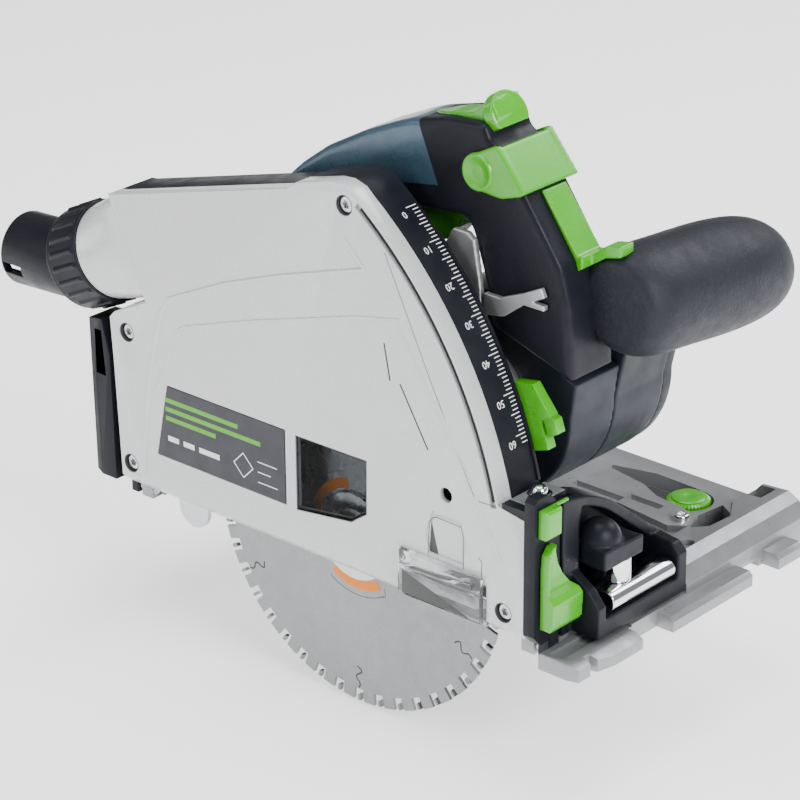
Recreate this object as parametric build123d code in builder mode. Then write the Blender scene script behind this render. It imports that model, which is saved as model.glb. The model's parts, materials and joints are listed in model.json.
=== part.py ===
"""Track plunge saw, modelled as separate pieces in builder mode (millimetres).

Frame: +X is the cutting direction, +Y runs from the blade to the motor, +Z is up. The origin is on the
underside of the sole, in the blade plane, under the arbor at full plunge. The saw is drawn fully plunged.
"""
from build123d import *
from math import atan2, cos, degrees, hypot, pi, radians, sin, sqrt
import os

os.makedirs("parts", exist_ok=True)

# ---------------------------------------------------------------- driving dimensions
BLADE_R = 84.0                    # 168 mm blade
BLADE_TEETH = 42
BLADE_T = 1.6
ARBOR_Z = 22.0                    # blade centre above the sole at full plunge
PIVOT_X, PIVOT_Z = -108.0, 23.0   # plunge pivot
SWING_R = hypot(PIVOT_X, ARBOR_Z - PIVOT_Z)
PLUNGE_DEG = 37.0
TILT_Z = 4.0                      # height of the tilt axis above the sole

SOLE_REAR, SOLE_FRONT = -160.0, 128.0
SOLE_NEAR, SOLE_FAR = 3.0, 165.0
WINDOW_FAR = 50.0                 # the sole is open beside the blade up to here
ARM_T, DECK_T = 8.0, 12.0

COVER_Y = -14.0                   # outer face of the painted cover
PARTING_Y = -4.5                  # cover meets the inner housing here
HOUSING_Y = 14.0                  # motor side of the inner housing
RIM_R = 205.5                     # depth-scale rim, about the plunge pivot
WALL = 3.0

NECK = Vector(-148.6, 0, 119.5)   # end of the dust neck
NECK_PITCH = 25.0
NECK_R = 22.9
PORT_R, PORT_BORE, PORT_END = 17.7, 13.7, -209.0

HANDLE_NEAR, HANDLE_FAR = 23.5, 53.5
HANDLE_MID = 0.5 * (HANDLE_NEAR + HANDLE_FAR)
MOTOR_X, MOTOR_Z, MOTOR_R = 48.0, 95.1, 47.5
MODULE = 1.25
ARBOR_TEETH, IDLER_TEETH, PINION_TEETH = 28, 50, 12
GEAR_NEAR, GEAR_FAR = 26.0, 36.0
CLEAR = 0.05                      # radial running clearance of a shaft

TRAIN_DEG = degrees(atan2(MOTOR_Z - ARBOR_Z, MOTOR_X))
ARBOR_TO_IDLER = 0.5 * MODULE * (ARBOR_TEETH + IDLER_TEETH)
IDLER_X = ARBOR_TO_IDLER * cos(radians(TRAIN_DEG))
IDLER_Z = ARBOR_Z + ARBOR_TO_IDLER * sin(radians(TRAIN_DEG))


# ---------------------------------------------------------------- helpers
def side(y):
    """Sketch plane at depth y whose sketch axes are X and Z; extrude() runs towards -Y."""
    return Plane(origin=(0, y, 0), x_dir=(1, 0, 0), z_dir=(0, -1, 0))


def front(x):
    """Sketch plane at station x whose sketch axes are Y and Z; extrude() runs towards +X."""
    return Plane(origin=(x, 0, 0), x_dir=(0, 1, 0), z_dir=(1, 0, 0))


def prism(plane, points, amount):
    """Solid with a polygonal outline."""
    with BuildPart(mode=Mode.PRIVATE) as piece:
        with BuildSketch(plane):
            with BuildLine():
                Polyline(*points, close=True)
            make_face()
        extrude(amount=amount)
    return piece.part


def slab(points, y_low, y_high):
    """Solid between two depths with a polygonal X-Z outline."""
    return prism(side(y_high), points, y_high - y_low)


def disc(x, z, radius, y_low, y_high, bore=0.0):
    """Round solid on an axis parallel to Y, with an optional bore."""
    with BuildPart(mode=Mode.PRIVATE) as piece:
        with BuildSketch(side(y_high)):
            with Locations((x, z)):
                Circle(radius)
                if bore:
                    Circle(bore, mode=Mode.SUBTRACT)
        extrude(amount=y_high - y_low)
    return piece.part


def post(x, y, radius, z_low, z_high, bore=0.0):
    """Round solid on an axis parallel to Z, with an optional bore."""
    with BuildPart(mode=Mode.PRIVATE) as piece:
        with BuildSketch(Plane.XY.offset(z_low)):
            with Locations((x, y)):
                Circle(radius)
                if bore:
                    Circle(bore, mode=Mode.SUBTRACT)
        extrude(amount=z_high - z_low)
    return piece.part


def rod(y, z, radius, x_low, x_high, bore=0.0):
    """Round solid on an axis parallel to X, with an optional bore."""
    with BuildPart(mode=Mode.PRIVATE) as piece:
        with BuildSketch(front(x_low)):
            with Locations((y, z)):
                Circle(radius)
                if bore:
                    Circle(bore, mode=Mode.SUBTRACT)
        extrude(amount=x_high - x_low)
    return piece.part


def block(x, y, z):
    """Box given by its (low, high) limits on each axis."""
    with BuildPart(mode=Mode.PRIVATE) as piece:
        with BuildSketch(Plane.XY.offset(z[0])):
            with Locations(((x[0] + x[1]) / 2, (y[0] + y[1]) / 2)):
                Rectangle(x[1] - x[0], y[1] - y[0])
        extrude(amount=z[1] - z[0])
    return piece.part


def hull(circles, y_low, y_high):
    """Solid between two depths around circles given as (x, z, radius)."""
    with BuildPart(mode=Mode.PRIVATE) as piece:
        with BuildSketch(side(y_high)):
            for x, z, radius in circles:
                with Locations((x, z)):
                    Circle(radius)
            make_hull()
        extrude(amount=y_high - y_low)
    return piece.part


def polar(radius, angle, x=PIVOT_X, z=PIVOT_Z):
    """Point in the X-Z plane at a radius and an angle in degrees, about the plunge pivot by default."""
    return (x + radius * cos(radians(angle)), z + radius * sin(radians(angle)))


def sector(r_low, r_high, start, end, y_low, y_high, x=PIVOT_X, z=PIVOT_Z):
    """Ring sector between two radii, angles and depths, about the plunge pivot by default."""
    middle = 0.5 * (start + end)
    with BuildPart(mode=Mode.PRIVATE) as piece:
        with BuildSketch(side(y_high)):
            with BuildLine():
                ThreePointArc(polar(r_high, start, x, z), polar(r_high, middle, x, z), polar(r_high, end, x, z))
                Line(polar(r_high, end, x, z), polar(r_low, end, x, z))
                ThreePointArc(polar(r_low, end, x, z), polar(r_low, middle, x, z), polar(r_low, start, x, z))
                Line(polar(r_low, start, x, z), polar(r_high, start, x, z))
            make_face()
        extrude(amount=y_high - y_low)
    return piece.part


def torx_screw(head_r=4.2, head=2.6, length=9.0, shank=2.0):
    """Pan-head screw that points along -Z, with the underside of its head at Z = 0."""
    with BuildPart(mode=Mode.PRIVATE) as piece:
        with BuildSketch(Plane.XY):
            Circle(head_r)
        extrude(amount=head)
        fillet(piece.edges().sort_by(Axis.Z)[-1], 1.1)
        with BuildSketch(Plane.XY.offset(head)):
            with PolarLocations(head_r * 0.33, 6):
                Circle(head_r * 0.17)
            Circle(head_r * 0.36)
        extrude(amount=-head * 0.55, mode=Mode.SUBTRACT)
        with BuildSketch(Plane.XY):
            Circle(shank)
        extrude(amount=-length)
    return piece.part


def gear_outline(teeth, backlash=0.12):
    """Polyline of an involute spur gear with a 20 degree pressure angle; one tooth points along +X."""
    pitch_r = 0.5 * MODULE * teeth
    base_r = pitch_r * cos(radians(20))
    tip_r = pitch_r + 0.92 * MODULE
    root_r = pitch_r - 1.25 * MODULE

    def involute(r):
        roll = sqrt(max((r / base_r) ** 2 - 1, 0))
        return roll - atan2(roll, 1)

    half_tooth = pi / (2 * teeth) - 0.5 * backlash / pitch_r
    start_r = max(base_r, root_r + 0.01)
    radii = [start_r + (tip_r - start_r) * i / 5 for i in range(6)]
    flank = [(r, half_tooth + involute(pitch_r) - involute(r)) for r in radii]
    points = []
    for k in range(teeth):
        middle = 2 * pi * k / teeth
        tooth = [(root_r, -flank[0][1])] + [(r, -a) for r, a in flank]
        tooth += [(r, a) for r, a in reversed(flank)] + [(root_r, flank[0][1])]
        points += [(r * cos(middle + a), r * sin(middle + a)) for r, a in tooth]
    return points


def spur_gear(teeth, x, z, phase, y_low, y_high, bore):
    """Spur gear on an axis parallel to Y, with one tooth at the phase angle in the X-Z plane."""
    turn = radians(phase)
    points = [(x + px * cos(turn) - pz * sin(turn), z + px * sin(turn) + pz * cos(turn))
              for px, pz in gear_outline(teeth)]
    with BuildPart(mode=Mode.PRIVATE) as piece:
        with BuildSketch(side(y_high)):
            with BuildLine():
                Polyline(*points, close=True)
            make_face()
            if bore:
                with Locations((x, z)):
                    Circle(bore, mode=Mode.SUBTRACT)
        extrude(amount=y_high - y_low)
    return piece.part


# ================================================================ BASE
RIDGE = [(101, 2), (101, 17), (104, 20.5), (118, 21.5), (124, 18.5), (SOLE_FRONT, 12), (SOLE_FRONT, 2)]
CAMS = ((78.0, 140.0), (-112.0, 140.0))
CAM_R, CAM_STUB_R = 10.5, 4.0
LUG = [(58, 130), (84, 127), (96, 123), (98, 114), (90, 108), (58, 112)]
DECK_CUT = [(91, 130), (93, 146), (103, 140), (113, 124), (112, 110), (106, 104), (100, 112)]
SCREW_SPOTS = ((120.5, 44), (120.5, 60), (-155, 24), (-155, 50))
CHANNEL_X, CHANNEL_Z = (106, 121), (9.5, 15.5)
PIN_R = 3.0

with BuildPart() as base_plate:
    add(prism(Plane.XY, [(SOLE_REAR, 6), (-136, 6), (-136, SOLE_NEAR), (-126, SOLE_NEAR), (-126, WINDOW_FAR),
                         (97, WINDOW_FAR), (97, SOLE_NEAR), (105, SOLE_NEAR), (105, 5), (111, 5), (111, 33.2),
                         (SOLE_FRONT, 33.2), (SOLE_FRONT, SOLE_FAR - 6), (SOLE_FRONT - 6, SOLE_FAR),
                         (SOLE_REAR + 6, SOLE_FAR), (SOLE_REAR, SOLE_FAR - 6)], ARM_T))
    add(block((SOLE_REAR + 3, 97.3), (WINDOW_FAR + 3, 72), (ARM_T, DECK_T)))
    add(block((SOLE_REAR + 3, 101), (72, SOLE_FAR - 2), (ARM_T, DECK_T)))
    add(slab(RIDGE, 72, SOLE_FAR - 3))
    for low, high in ((51, 109), (129, 147)):
        add(slab([(SOLE_FRONT, 0), (137, 0), (137, 5), (135, 7), (SOLE_FRONT, 7)], low, high))
    add(prism(Plane.XY.offset(DECK_T), LUG, 3))
    for x_low, x_high in ((97.5, 104.5), (-134, -127)):
        add(block((x_low, x_high), (-4, SOLE_NEAR), (0.4, 7.5)))
    add(block(CHANNEL_X, (71, SOLE_FAR + 1), CHANNEL_Z), mode=Mode.SUBTRACT)
    add(prism(Plane.XY.offset(2), DECK_CUT, 30), mode=Mode.SUBTRACT)
    add(block((101.5, 112.5), (148, 160), (15.5, 30)), mode=Mode.SUBTRACT)
    add(post(114.5, 90, 3.2, 15.5, 30), mode=Mode.SUBTRACT)
    add(block((26, 77), (118.5, 123), (-1, 30)), mode=Mode.SUBTRACT)
    add(prism(Plane.XY.offset(4.5), [(28, 147), (50, 153), (76, 152), (76, 128), (52, 140), (30, 144)], 30),
        mode=Mode.SUBTRACT)
    for x, y in CAMS:
        add(post(x, y, CAM_R + 1.2, 4.5, 30), mode=Mode.SUBTRACT)
        add(post(x, y, CAM_STUB_R + CLEAR, -1, 5), mode=Mode.SUBTRACT)
    add(block((SOLE_REAR - 1, SOLE_FRONT + 20), (109, 126), (-1, 4)), mode=Mode.SUBTRACT)
    for x in (-132, -78, -24, 30):
        add(block((x - 23, x + 23), (70, 102), (-1, 7)), mode=Mode.SUBTRACT)
    for y_low in (58, 152):
        add(block((SOLE_REAR + 8, 92), (y_low, y_low + 7), (-1, 1.6)), mode=Mode.SUBTRACT)
    add(rod(0, TILT_Z, PIN_R, -136, 106), mode=Mode.SUBTRACT)
    for x, y in SCREW_SPOTS:
        add(post(x, y, 1.9, -1, 30), mode=Mode.SUBTRACT)
        add(post(x, y, 4.2, -1, 2.9), mode=Mode.SUBTRACT)
    add(post(90, 118, 1.9, 3, 30), mode=Mode.SUBTRACT)
base_plate.part.label = "base_plate"
export_step(base_plate.part, "parts/base_plate.step")

with BuildPart() as glide_strips:
    for y_low in (58, 152):
        add(block((SOLE_REAR + 8, 92), (y_low, y_low + 7), (0, 1.6)))
glide_strips.part.label = "glide_strips"
export_step(glide_strips.part, "parts/glide_strips.step")

with BuildPart() as cut_indicator:
    add(prism(Plane.XY, [(113.3, -12), (128, -12), (134, -10.5), (134, -2.5), (130, -1.4), (130, 1.4), (134, 2.5),
                         (136, 12), (136, 31), (129, 31), (129, 32.8), (113.3, 32.8)], 7.5))
    add(slab([(129, 8), (137, 4.5), (137, 8)], -20, 40), mode=Mode.SUBTRACT)
    add(block((117, 124), (-9, 28), (6, 9)), mode=Mode.SUBTRACT)
    chamfer(cut_indicator.faces().sort_by(Axis.Z)[-1].outer_wire().edges(), 0.6)
cut_indicator.part.label = "cut_indicator"
export_step(cut_indicator.part, "parts/cut_indicator.step")

ARC_R = 68.0                      # front tilt segment, about the tilt axis
BOX_FRONT = 128.0
CLAMP_X, CLAMP_Y = 118.0, 34.5


def tilt_arc(radius, start, end):
    """Arc about the tilt axis in a Y-Z sketch plane, between two angles in degrees."""
    angles = [radians(a) for a in (start, 0.5 * (start + end), end)]
    return ThreePointArc(*[(radius * cos(a), TILT_Z + radius * sin(a)) for a in angles])


def arc_end(radius, angle):
    """Point on a circle about the tilt axis in a Y-Z sketch plane."""
    return (radius * cos(radians(angle)), TILT_Z + radius * sin(radians(angle)))


with BuildPart() as front_bevel_bracket:
    with BuildSketch(front(97.5)):
        with BuildLine():
            tilt_arc(ARC_R, 76, 52)
            Polyline(arc_end(ARC_R, 52), (71.8, 34), (71.8, ARM_T), (16.4, ARM_T), arc_end(ARC_R, 76))
        make_face()
    extrude(amount=3)
    with BuildSketch(front(100.5)):
        with BuildLine():
            tilt_arc(ARC_R, 76, 52)
            Polyline(arc_end(ARC_R, 52), (71.8, 34), (71.8, ARM_T), (67, ARM_T), (67, 32), arc_end(ARC_R - 4.5, 52))
            tilt_arc(ARC_R - 4.5, 52, 76)
            Line(arc_end(ARC_R - 4.5, 76), arc_end(ARC_R, 76))
        make_face()
    extrude(amount=12)
    with BuildSketch(front(107.0)):
        with BuildLine():
            tilt_arc(ARC_R, 86, 74)
            Polyline(arc_end(ARC_R, 74), arc_end(ARC_R - 4.5, 74), (16, 58), (16, ARM_T), (5, ARM_T),
                     arc_end(ARC_R, 86))
        make_face()
    extrude(amount=5.5)
    add(block((100.5, BOX_FRONT), (14, 71.8), (9.5, 17.5)))
    add(block((112.5, BOX_FRONT), (10, 14), (9.5, 17.5)))
    add(slab([(100.5, 17.5), (BOX_FRONT, 17.5), (BOX_FRONT, 29), (124, 33), (100.5, 36)], 65.5, 71.8))
    add(slab([(107, 17.5), (BOX_FRONT, 17.5), (BOX_FRONT, 24), (122, 31), (112.5, 37), (107, 37)], 10, 15.5))
    add(block((96, 108), (3, 15.9), (0, 80)), mode=Mode.SUBTRACT)
    add(block((107, 112.5), (5, 15.9), (ARM_T, 60)))
    add(post(CLAMP_X, CLAMP_Y, 4.2, 5, 20), mode=Mode.SUBTRACT)
    for x, y in SCREW_SPOTS[:2]:
        add(post(x, y, 1.7, 5, 14), mode=Mode.SUBTRACT)
front_bevel_bracket.part.label = "front_bevel_bracket"
export_step(front_bevel_bracket.part, "parts/front_bevel_bracket.step")

REAR_PIN_R, REAR_PIN_DEG = 56.5, 70.0
REAR_PIN = arc_end(REAR_PIN_R, REAR_PIN_DEG)

with BuildPart() as rear_bevel_bracket:
    with BuildSketch(front(-158)):
        with BuildLine():
            tilt_arc(66, 78, 52)
            Polyline(arc_end(66, 52), (62, 30), (66, DECK_T), (66, ARM_T), (13.7, ARM_T), arc_end(66, 78))
        make_face()
        with Locations(REAR_PIN):
            Circle(3 + CLEAR, mode=Mode.SUBTRACT)
    extrude(amount=6)
    add(block((-160, -150), (50, 70), (ARM_T - 1, DECK_T + 0.1)), mode=Mode.SUBTRACT)
    for x, y in SCREW_SPOTS[2:]:
        add(post(x, y, 1.7, 5, 14), mode=Mode.SUBTRACT)
rear_bevel_bracket.part.label = "rear_bevel_bracket"
export_step(rear_bevel_bracket.part, "parts/rear_bevel_bracket.step")

with BuildPart() as rear_bevel_knob:
    add(rod(REAR_PIN[0], REAR_PIN[1], 3.0, -164, -146))
    add(rod(REAR_PIN[0], REAR_PIN[1], 12, -176, -158.4))
    fillet(rear_bevel_knob.edges().sort_by(Axis.X)[0], 2)
rear_bevel_knob.part.label = "rear_bevel_knob"
export_step(rear_bevel_knob.part, "parts/rear_bevel_knob.step")

with BuildPart() as bevel_pins:
    add(rod(0, TILT_Z, PIN_R, 98, 112.4))
    add(rod(0, TILT_Z, PIN_R, -141, -127.5))
bevel_pins.part.label = "bevel_pins"
export_step(bevel_pins.part, "parts/bevel_pins.step")

with BuildPart() as base_screws:
    add(torx_screw(4.0, 2.4, 8, 1.9).moved(Location((90, 118, 15))))
    for x, y in SCREW_SPOTS:
        add(torx_screw(4.0, 2.3, 11, 1.7).moved(Location((x, y, 2.9), (180, 0, 0))))
base_screws.part.label = "base_screws"
export_step(base_screws.part, "parts/base_screws.step")

with BuildPart() as fence_clamp_bar:
    add(block((114, 121.5), (20.5, 64), (24, 27)))
    add(block((114, 117), (20.5, 64), (17.8, 24)))
    add(prism(Plane.XZ.offset(-64), [(121.5, 17.8), (126, 19.5), (127, 22.5), (125.5, 25.8), (121.5, 27)], 43.5))
    add(block((120, 128), (24, 26), (17.8, 22)))
    add(post(CLAMP_X, CLAMP_Y, 4.3, 10, 40), mode=Mode.SUBTRACT)
fence_clamp_bar.part.label = "fence_clamp_bar"
export_step(fence_clamp_bar.part, "parts/fence_clamp_bar.step")

with BuildPart() as fence_clamp_screw:
    add(post(CLAMP_X, CLAMP_Y, 4.0, 9.8, 27.2))
    add(post(CLAMP_X, CLAMP_Y, 6.5, 27.2, 38))
    chamfer(fence_clamp_screw.edges().sort_by(Axis.Z)[0], 0.6)
fence_clamp_screw.part.label = "fence_clamp_screw"
export_step(fence_clamp_screw.part, "parts/fence_clamp_screw.step")

with BuildPart() as fence_clamp_knob:
    add(prism(Plane.XY.offset(38), [(109, 18), (118, 17.2), (124, 20), (125, 27), (125, 40), (121, 44),
                                    (113, 44), (107, 37), (105, 28), (106, 20)], 9))
    chamfer(fence_clamp_knob.edges().group_by(Axis.Z)[-1], 1.5)
    with BuildSketch(Plane.XY.offset(47)):
        with Locations((CLAMP_X - 5, CLAMP_Y - 7)):
            Circle(7.5)
    extrude(amount=9)
    chamfer(fence_clamp_knob.edges().group_by(Axis.Z)[-1], 2.5)
fence_clamp_knob.part.label = "fence_clamp_knob"
export_step(fence_clamp_knob.part, "parts/fence_clamp_knob.step")


def rail_cam(x, y):
    """Green eccentric wheel that takes up play on the guide rail; its stub turns in the sole."""
    with BuildPart(mode=Mode.PRIVATE) as piece:
        with BuildSketch(Plane.XY.offset(5)):
            with Locations((x, y)):
                Circle(CAM_R)
        extrude(amount=9.5)
        add(post(x, y, CAM_STUB_R, 0.6, 5))
        chamfer(piece.edges().filter_by(GeomType.CIRCLE).group_by(Axis.Z)[-1], 0.8)
        add(block((x - 6.5, x + 6.5), (y - 1, y + 1), (13, 16)), mode=Mode.SUBTRACT)
    return piece.part


with BuildPart() as rail_cam_front:
    add(rail_cam(*CAMS[0]))
rail_cam_front.part.label = "rail_cam_front"
export_step(rail_cam_front.part, "parts/rail_cam_front.step")

with BuildPart() as rail_cam_rear:
    add(rail_cam(*CAMS[1]))
rail_cam_rear.part.label = "rail_cam_rear"
export_step(rail_cam_rear.part, "parts/rail_cam_rear.step")

# ================================================================ TILTING HEAD
NECK_IN = 24.3                    # the dust neck reaches this far into the head


def neck_point(along, up):
    """Point in the X-Z plane given along the dust neck's axis and square to it."""
    c, s = cos(radians(NECK_PITCH)), sin(radians(NECK_PITCH))
    return (NECK.X + along * c - up * s, NECK.Z + along * s + up * c)


def head_face(inset=0.0):
    """Outline of cover and housing as a sketch, optionally inset; the neck's corner stays open."""
    with BuildSketch(side(0), mode=Mode.PRIVATE) as face:
        with BuildLine():
            Polyline((16.4, 187), (12.4, 190.5), (5.6, 192.5), (-0.6, 192.1), (-20, 187), (-25.5, 183),
                     (-134, 153.8), neck_point(NECK_IN, 26), neck_point(NECK_IN, -26), neck_point(1, -26),
                     (-140, 93), (-138.7, 72), (-136, 10), (104, 10), (106.5, 13), (106.5, 68), (92, 70.5))
            ThreePointArc((92, 70.5), polar(RIM_R, 33.1), (16.4, 187))
        make_face()
        if inset:
            offset(amount=-inset, kind=Kind.INTERSECTION)
    return face.sketch


def head_solid(y_low, y_high, inset=0.0):
    """Solid between two depths with the head's outline."""
    with BuildPart(mode=Mode.PRIVATE) as piece:
        add(head_face(inset).moved(Location((0, y_high, 0))))
        extrude(amount=y_high - y_low, dir=(0, -1, 0))
    return piece.part


NECK_MOUTH = [neck_point(NECK_IN + 6, 23), neck_point(NECK_IN + 6, -23), neck_point(-10, -23), neck_point(-10, 23)]
GUARD_WINDOW = [(-24, 31.5), (-24, 68), (18.5, 68.5), (18.2, 42.6), (9, 36)]
VIEW_HOLE = [(-22.8, 33), (-22.8, 66.8), (17.3, 67.3), (17, 43.6), (8.4, 37.6)]
COVER_SPOTS = ((95.6, 21.4), (-129.9, 21.7), (-129, 88), (7.6, 183.4))

with BuildPart() as blade_cover:
    add(head_solid(COVER_Y, PARTING_Y))
    add(head_solid(COVER_Y + 2.6, PARTING_Y + 1, WALL), mode=Mode.SUBTRACT)
    add(slab(NECK_MOUTH, COVER_Y + 2.6, PARTING_Y + 1), mode=Mode.SUBTRACT)
    for x, z in COVER_SPOTS:
        add(disc(x, z, 6.2, COVER_Y + 2, PARTING_Y))
        add(disc(x, z, 4.6, COVER_Y - 1, COVER_Y + 4), mode=Mode.SUBTRACT)
        add(disc(x, z, 2.0, COVER_Y - 1, PARTING_Y + 1), mode=Mode.SUBTRACT)
    add(slab([(36.7, 9), (86.3, 9), (86.3, 31), (36.7, 31)], COVER_Y - 1, COVER_Y + 3), mode=Mode.SUBTRACT)
    add(prism(front(-150), [(-15, 9), (-9.5, 9), (-9.5, 10), (-15, 15.3)], 270), mode=Mode.SUBTRACT)
    add(slab([(54, 36.5), (73, 36.5), (75, 46), (72, 57), (56, 57), (52, 46)], COVER_Y - 1, COVER_Y + 1),
        mode=Mode.SUBTRACT)
    add(disc(63.7, 66.5, 3.4, COVER_Y - 1, COVER_Y + 4), mode=Mode.SUBTRACT)
    add(slab([(-111.8, 32), (-104, 68.8), (-30, 68.8), (-30, 32)], COVER_Y - 1, COVER_Y + 0.6),
        mode=Mode.SUBTRACT)
    add(slab(GUARD_WINDOW, COVER_Y - 1, COVER_Y + 1.2), mode=Mode.SUBTRACT)
    add(slab(VIEW_HOLE, COVER_Y + 1, COVER_Y + 3), mode=Mode.SUBTRACT)
blade_cover.part.label = "blade_cover"
export_step(blade_cover.part, "parts/blade_cover.step")

with BuildPart() as blade_housing:
    add(head_solid(PARTING_Y, HOUSING_Y))
    add(head_solid(PARTING_Y - 1, HOUSING_Y - 3, WALL), mode=Mode.SUBTRACT)
    add(slab([(-90, 0), (90, 0), (90, 14), (-90, 14)], PARTING_Y - 1, HOUSING_Y - 3), mode=Mode.SUBTRACT)
    add(slab([(-117, 9), (-86, 9), (-86, 14), (-117, 14)], PARTING_Y - 1, -0.9), mode=Mode.SUBTRACT)
    add(slab(NECK_MOUTH, PARTING_Y - 1, HOUSING_Y - 3), mode=Mode.SUBTRACT)
    add(sector(SWING_R - 23.5, SWING_R + 23.5, -20, PLUNGE_DEG, 5, HOUSING_Y + 1), mode=Mode.SUBTRACT)
    hub = polar(SWING_R, PLUNGE_DEG - 0.53)
    add(disc(hub[0], hub[1], 23.5, 5, HOUSING_Y + 1), mode=Mode.SUBTRACT)
    add(disc(PIVOT_X, PIVOT_Z, 9.4, 6, HOUSING_Y - 2))
    add(disc(PIVOT_X, PIVOT_Z, 5, 0, HOUSING_Y + 1), mode=Mode.SUBTRACT)
    for x, z in COVER_SPOTS:
        add(disc(x, z, 4.5, PARTING_Y, HOUSING_Y - 2))
        add(disc(x, z, 1.7, PARTING_Y - 1, 9), mode=Mode.SUBTRACT)
    add(sector(RIM_R - 4.6, RIM_R + 1.2, 14, 46, HOUSING_Y - 1.5, HOUSING_Y))
blade_housing.part.label = "blade_housing"
export_step(blade_housing.part, "parts/blade_housing.step")

with BuildPart() as cover_screws:
    for x, z in COVER_SPOTS:
        add(torx_screw(4.2, 2.6, 13, 1.6).moved(Location((x, COVER_Y + 4, z), (90, 0, 0))))
cover_screws.part.label = "cover_screws"
export_step(cover_screws.part, "parts/cover_screws.step")

with BuildPart() as cover_label:
    add(slab([(-111.3, 32.4), (-103.6, 68.4), (-30.4, 68.4), (-30.4, 32.4)], COVER_Y - 0.1, COVER_Y + 0.6))
cover_label.part.label = "cover_label"
export_step(cover_label.part, "parts/cover_label.step")

with BuildPart() as view_pane:
    add(slab([(-23.8, 31.8), (-23.8, 67.7), (18.3, 68.2), (18, 42.8), (8.9, 36.3)], COVER_Y + 0.3, COVER_Y + 1.2))
view_pane.part.label = "view_pane"
export_step(view_pane.part, "parts/view_pane.step")

with BuildPart() as chip_guard:
    add(block((37, 86), (COVER_Y + 0.6, COVER_Y + 2.4), (10.5, 24)))
    add(block((40, 83), (COVER_Y - 1, COVER_Y + 1), (12, 24)))
    add(block((38, 85), (COVER_Y - 2.4, COVER_Y - 0.2), (10.3, 34.3)))
    add(block((42, 81), (COVER_Y - 4, COVER_Y - 1), (28, 31)))
    add(prism(front(30), [(-20, 9), (-13.4, 9), (-13.4, 11), (-20, 17)], 60), mode=Mode.SUBTRACT)
chip_guard.part.label = "chip_guard"
export_step(chip_guard.part, "parts/chip_guard.step")

FEELER_X, FEELER_Z = -96.0, 17.0

with BuildPart() as kickback_feeler:
    add(hull([(-100, 4, 9.5), (FEELER_X, FEELER_Z, 4.5)], -3.9, -1.4))
    add(disc(FEELER_X, FEELER_Z, 2.2, -5, 0), mode=Mode.SUBTRACT)
kickback_feeler.part.label = "kickback_feeler"
export_step(kickback_feeler.part, "parts/kickback_feeler.step")

with BuildPart() as feeler_pin:
    add(disc(FEELER_X, FEELER_Z, 2.1, -11.4, 10.9))
    add(disc(FEELER_X, FEELER_Z, 3.8, -1.2, 10.9))
    add(disc(FEELER_X, FEELER_Z, 3.8, -11.4, -4.1))
feeler_pin.part.label = "feeler_pin"
export_step(feeler_pin.part, "parts/feeler_pin.step")

with BuildPart() as dust_neck:
    inner_mouth = Plane(origin=(neck_point(NECK_IN, 0)[0], 0, neck_point(NECK_IN, 0)[1]),
                        x_dir=(0, 1, 0), z_dir=(-cos(radians(NECK_PITCH)), 0, -sin(radians(NECK_PITCH))))
    with BuildSketch(inner_mouth):
        RectangleRounded(28, 50, 6)
    with BuildSketch(inner_mouth.offset(NECK_IN)):
        Circle(NECK_R)
    loft()
    with BuildSketch(inner_mouth.offset(-0.1)):
        RectangleRounded(22, 44, 4)
    with BuildSketch(inner_mouth.offset(NECK_IN)):
        Circle(18)
    loft(mode=Mode.SUBTRACT)
    with BuildSketch(inner_mouth.offset(NECK_IN)):
        Circle(20.5)
        Circle(18, mode=Mode.SUBTRACT)
    extrude(amount=7)
dust_neck.part.label = "dust_neck"
export_step(dust_neck.part, "parts/dust_neck.step")

NECK_PLANE = Plane(origin=tuple(NECK), x_dir=(0, 1, 0),
                   z_dir=(-cos(radians(NECK_PITCH)), 0, -sin(radians(NECK_PITCH))))
COLLAR_LONG = 22.0

with BuildPart() as dust_collar:
    with BuildSketch(NECK_PLANE.offset(0.4)):
        Circle(24.0)
        Circle(20.8, mode=Mode.SUBTRACT)
    extrude(amount=COLLAR_LONG - 0.4)
    with BuildSketch(NECK_PLANE.offset(2.5)):
        with PolarLocations(24.0, 22):
            Circle(1.1)
    extrude(amount=COLLAR_LONG - 6)
    with BuildSketch(NECK_PLANE.offset(7.4)):
        Circle(21)
        Circle(15.5, mode=Mode.SUBTRACT)
    extrude(amount=COLLAR_LONG - 7.4)
dust_collar.part.label = "dust_collar"
export_step(dust_collar.part, "parts/dust_collar.step")


PORT_PITCH = 3.0
ELBOW_R = 23.8                    # bend radius between the collar's pitch and the port's
ELBOW_HUB = neck_point(-COLLAR_LONG - 3.4, ELBOW_R)
ELBOW_AXIS = Axis((ELBOW_HUB[0], 0, ELBOW_HUB[1]), (0, 1, 0))
ELBOW_END = (ELBOW_HUB[0] + ELBOW_R * sin(radians(PORT_PITCH)), 0,
             ELBOW_HUB[1] - ELBOW_R * cos(radians(PORT_PITCH)))
PORT_WAY = (-cos(radians(PORT_PITCH)), 0, -sin(radians(PORT_PITCH)))

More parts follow.
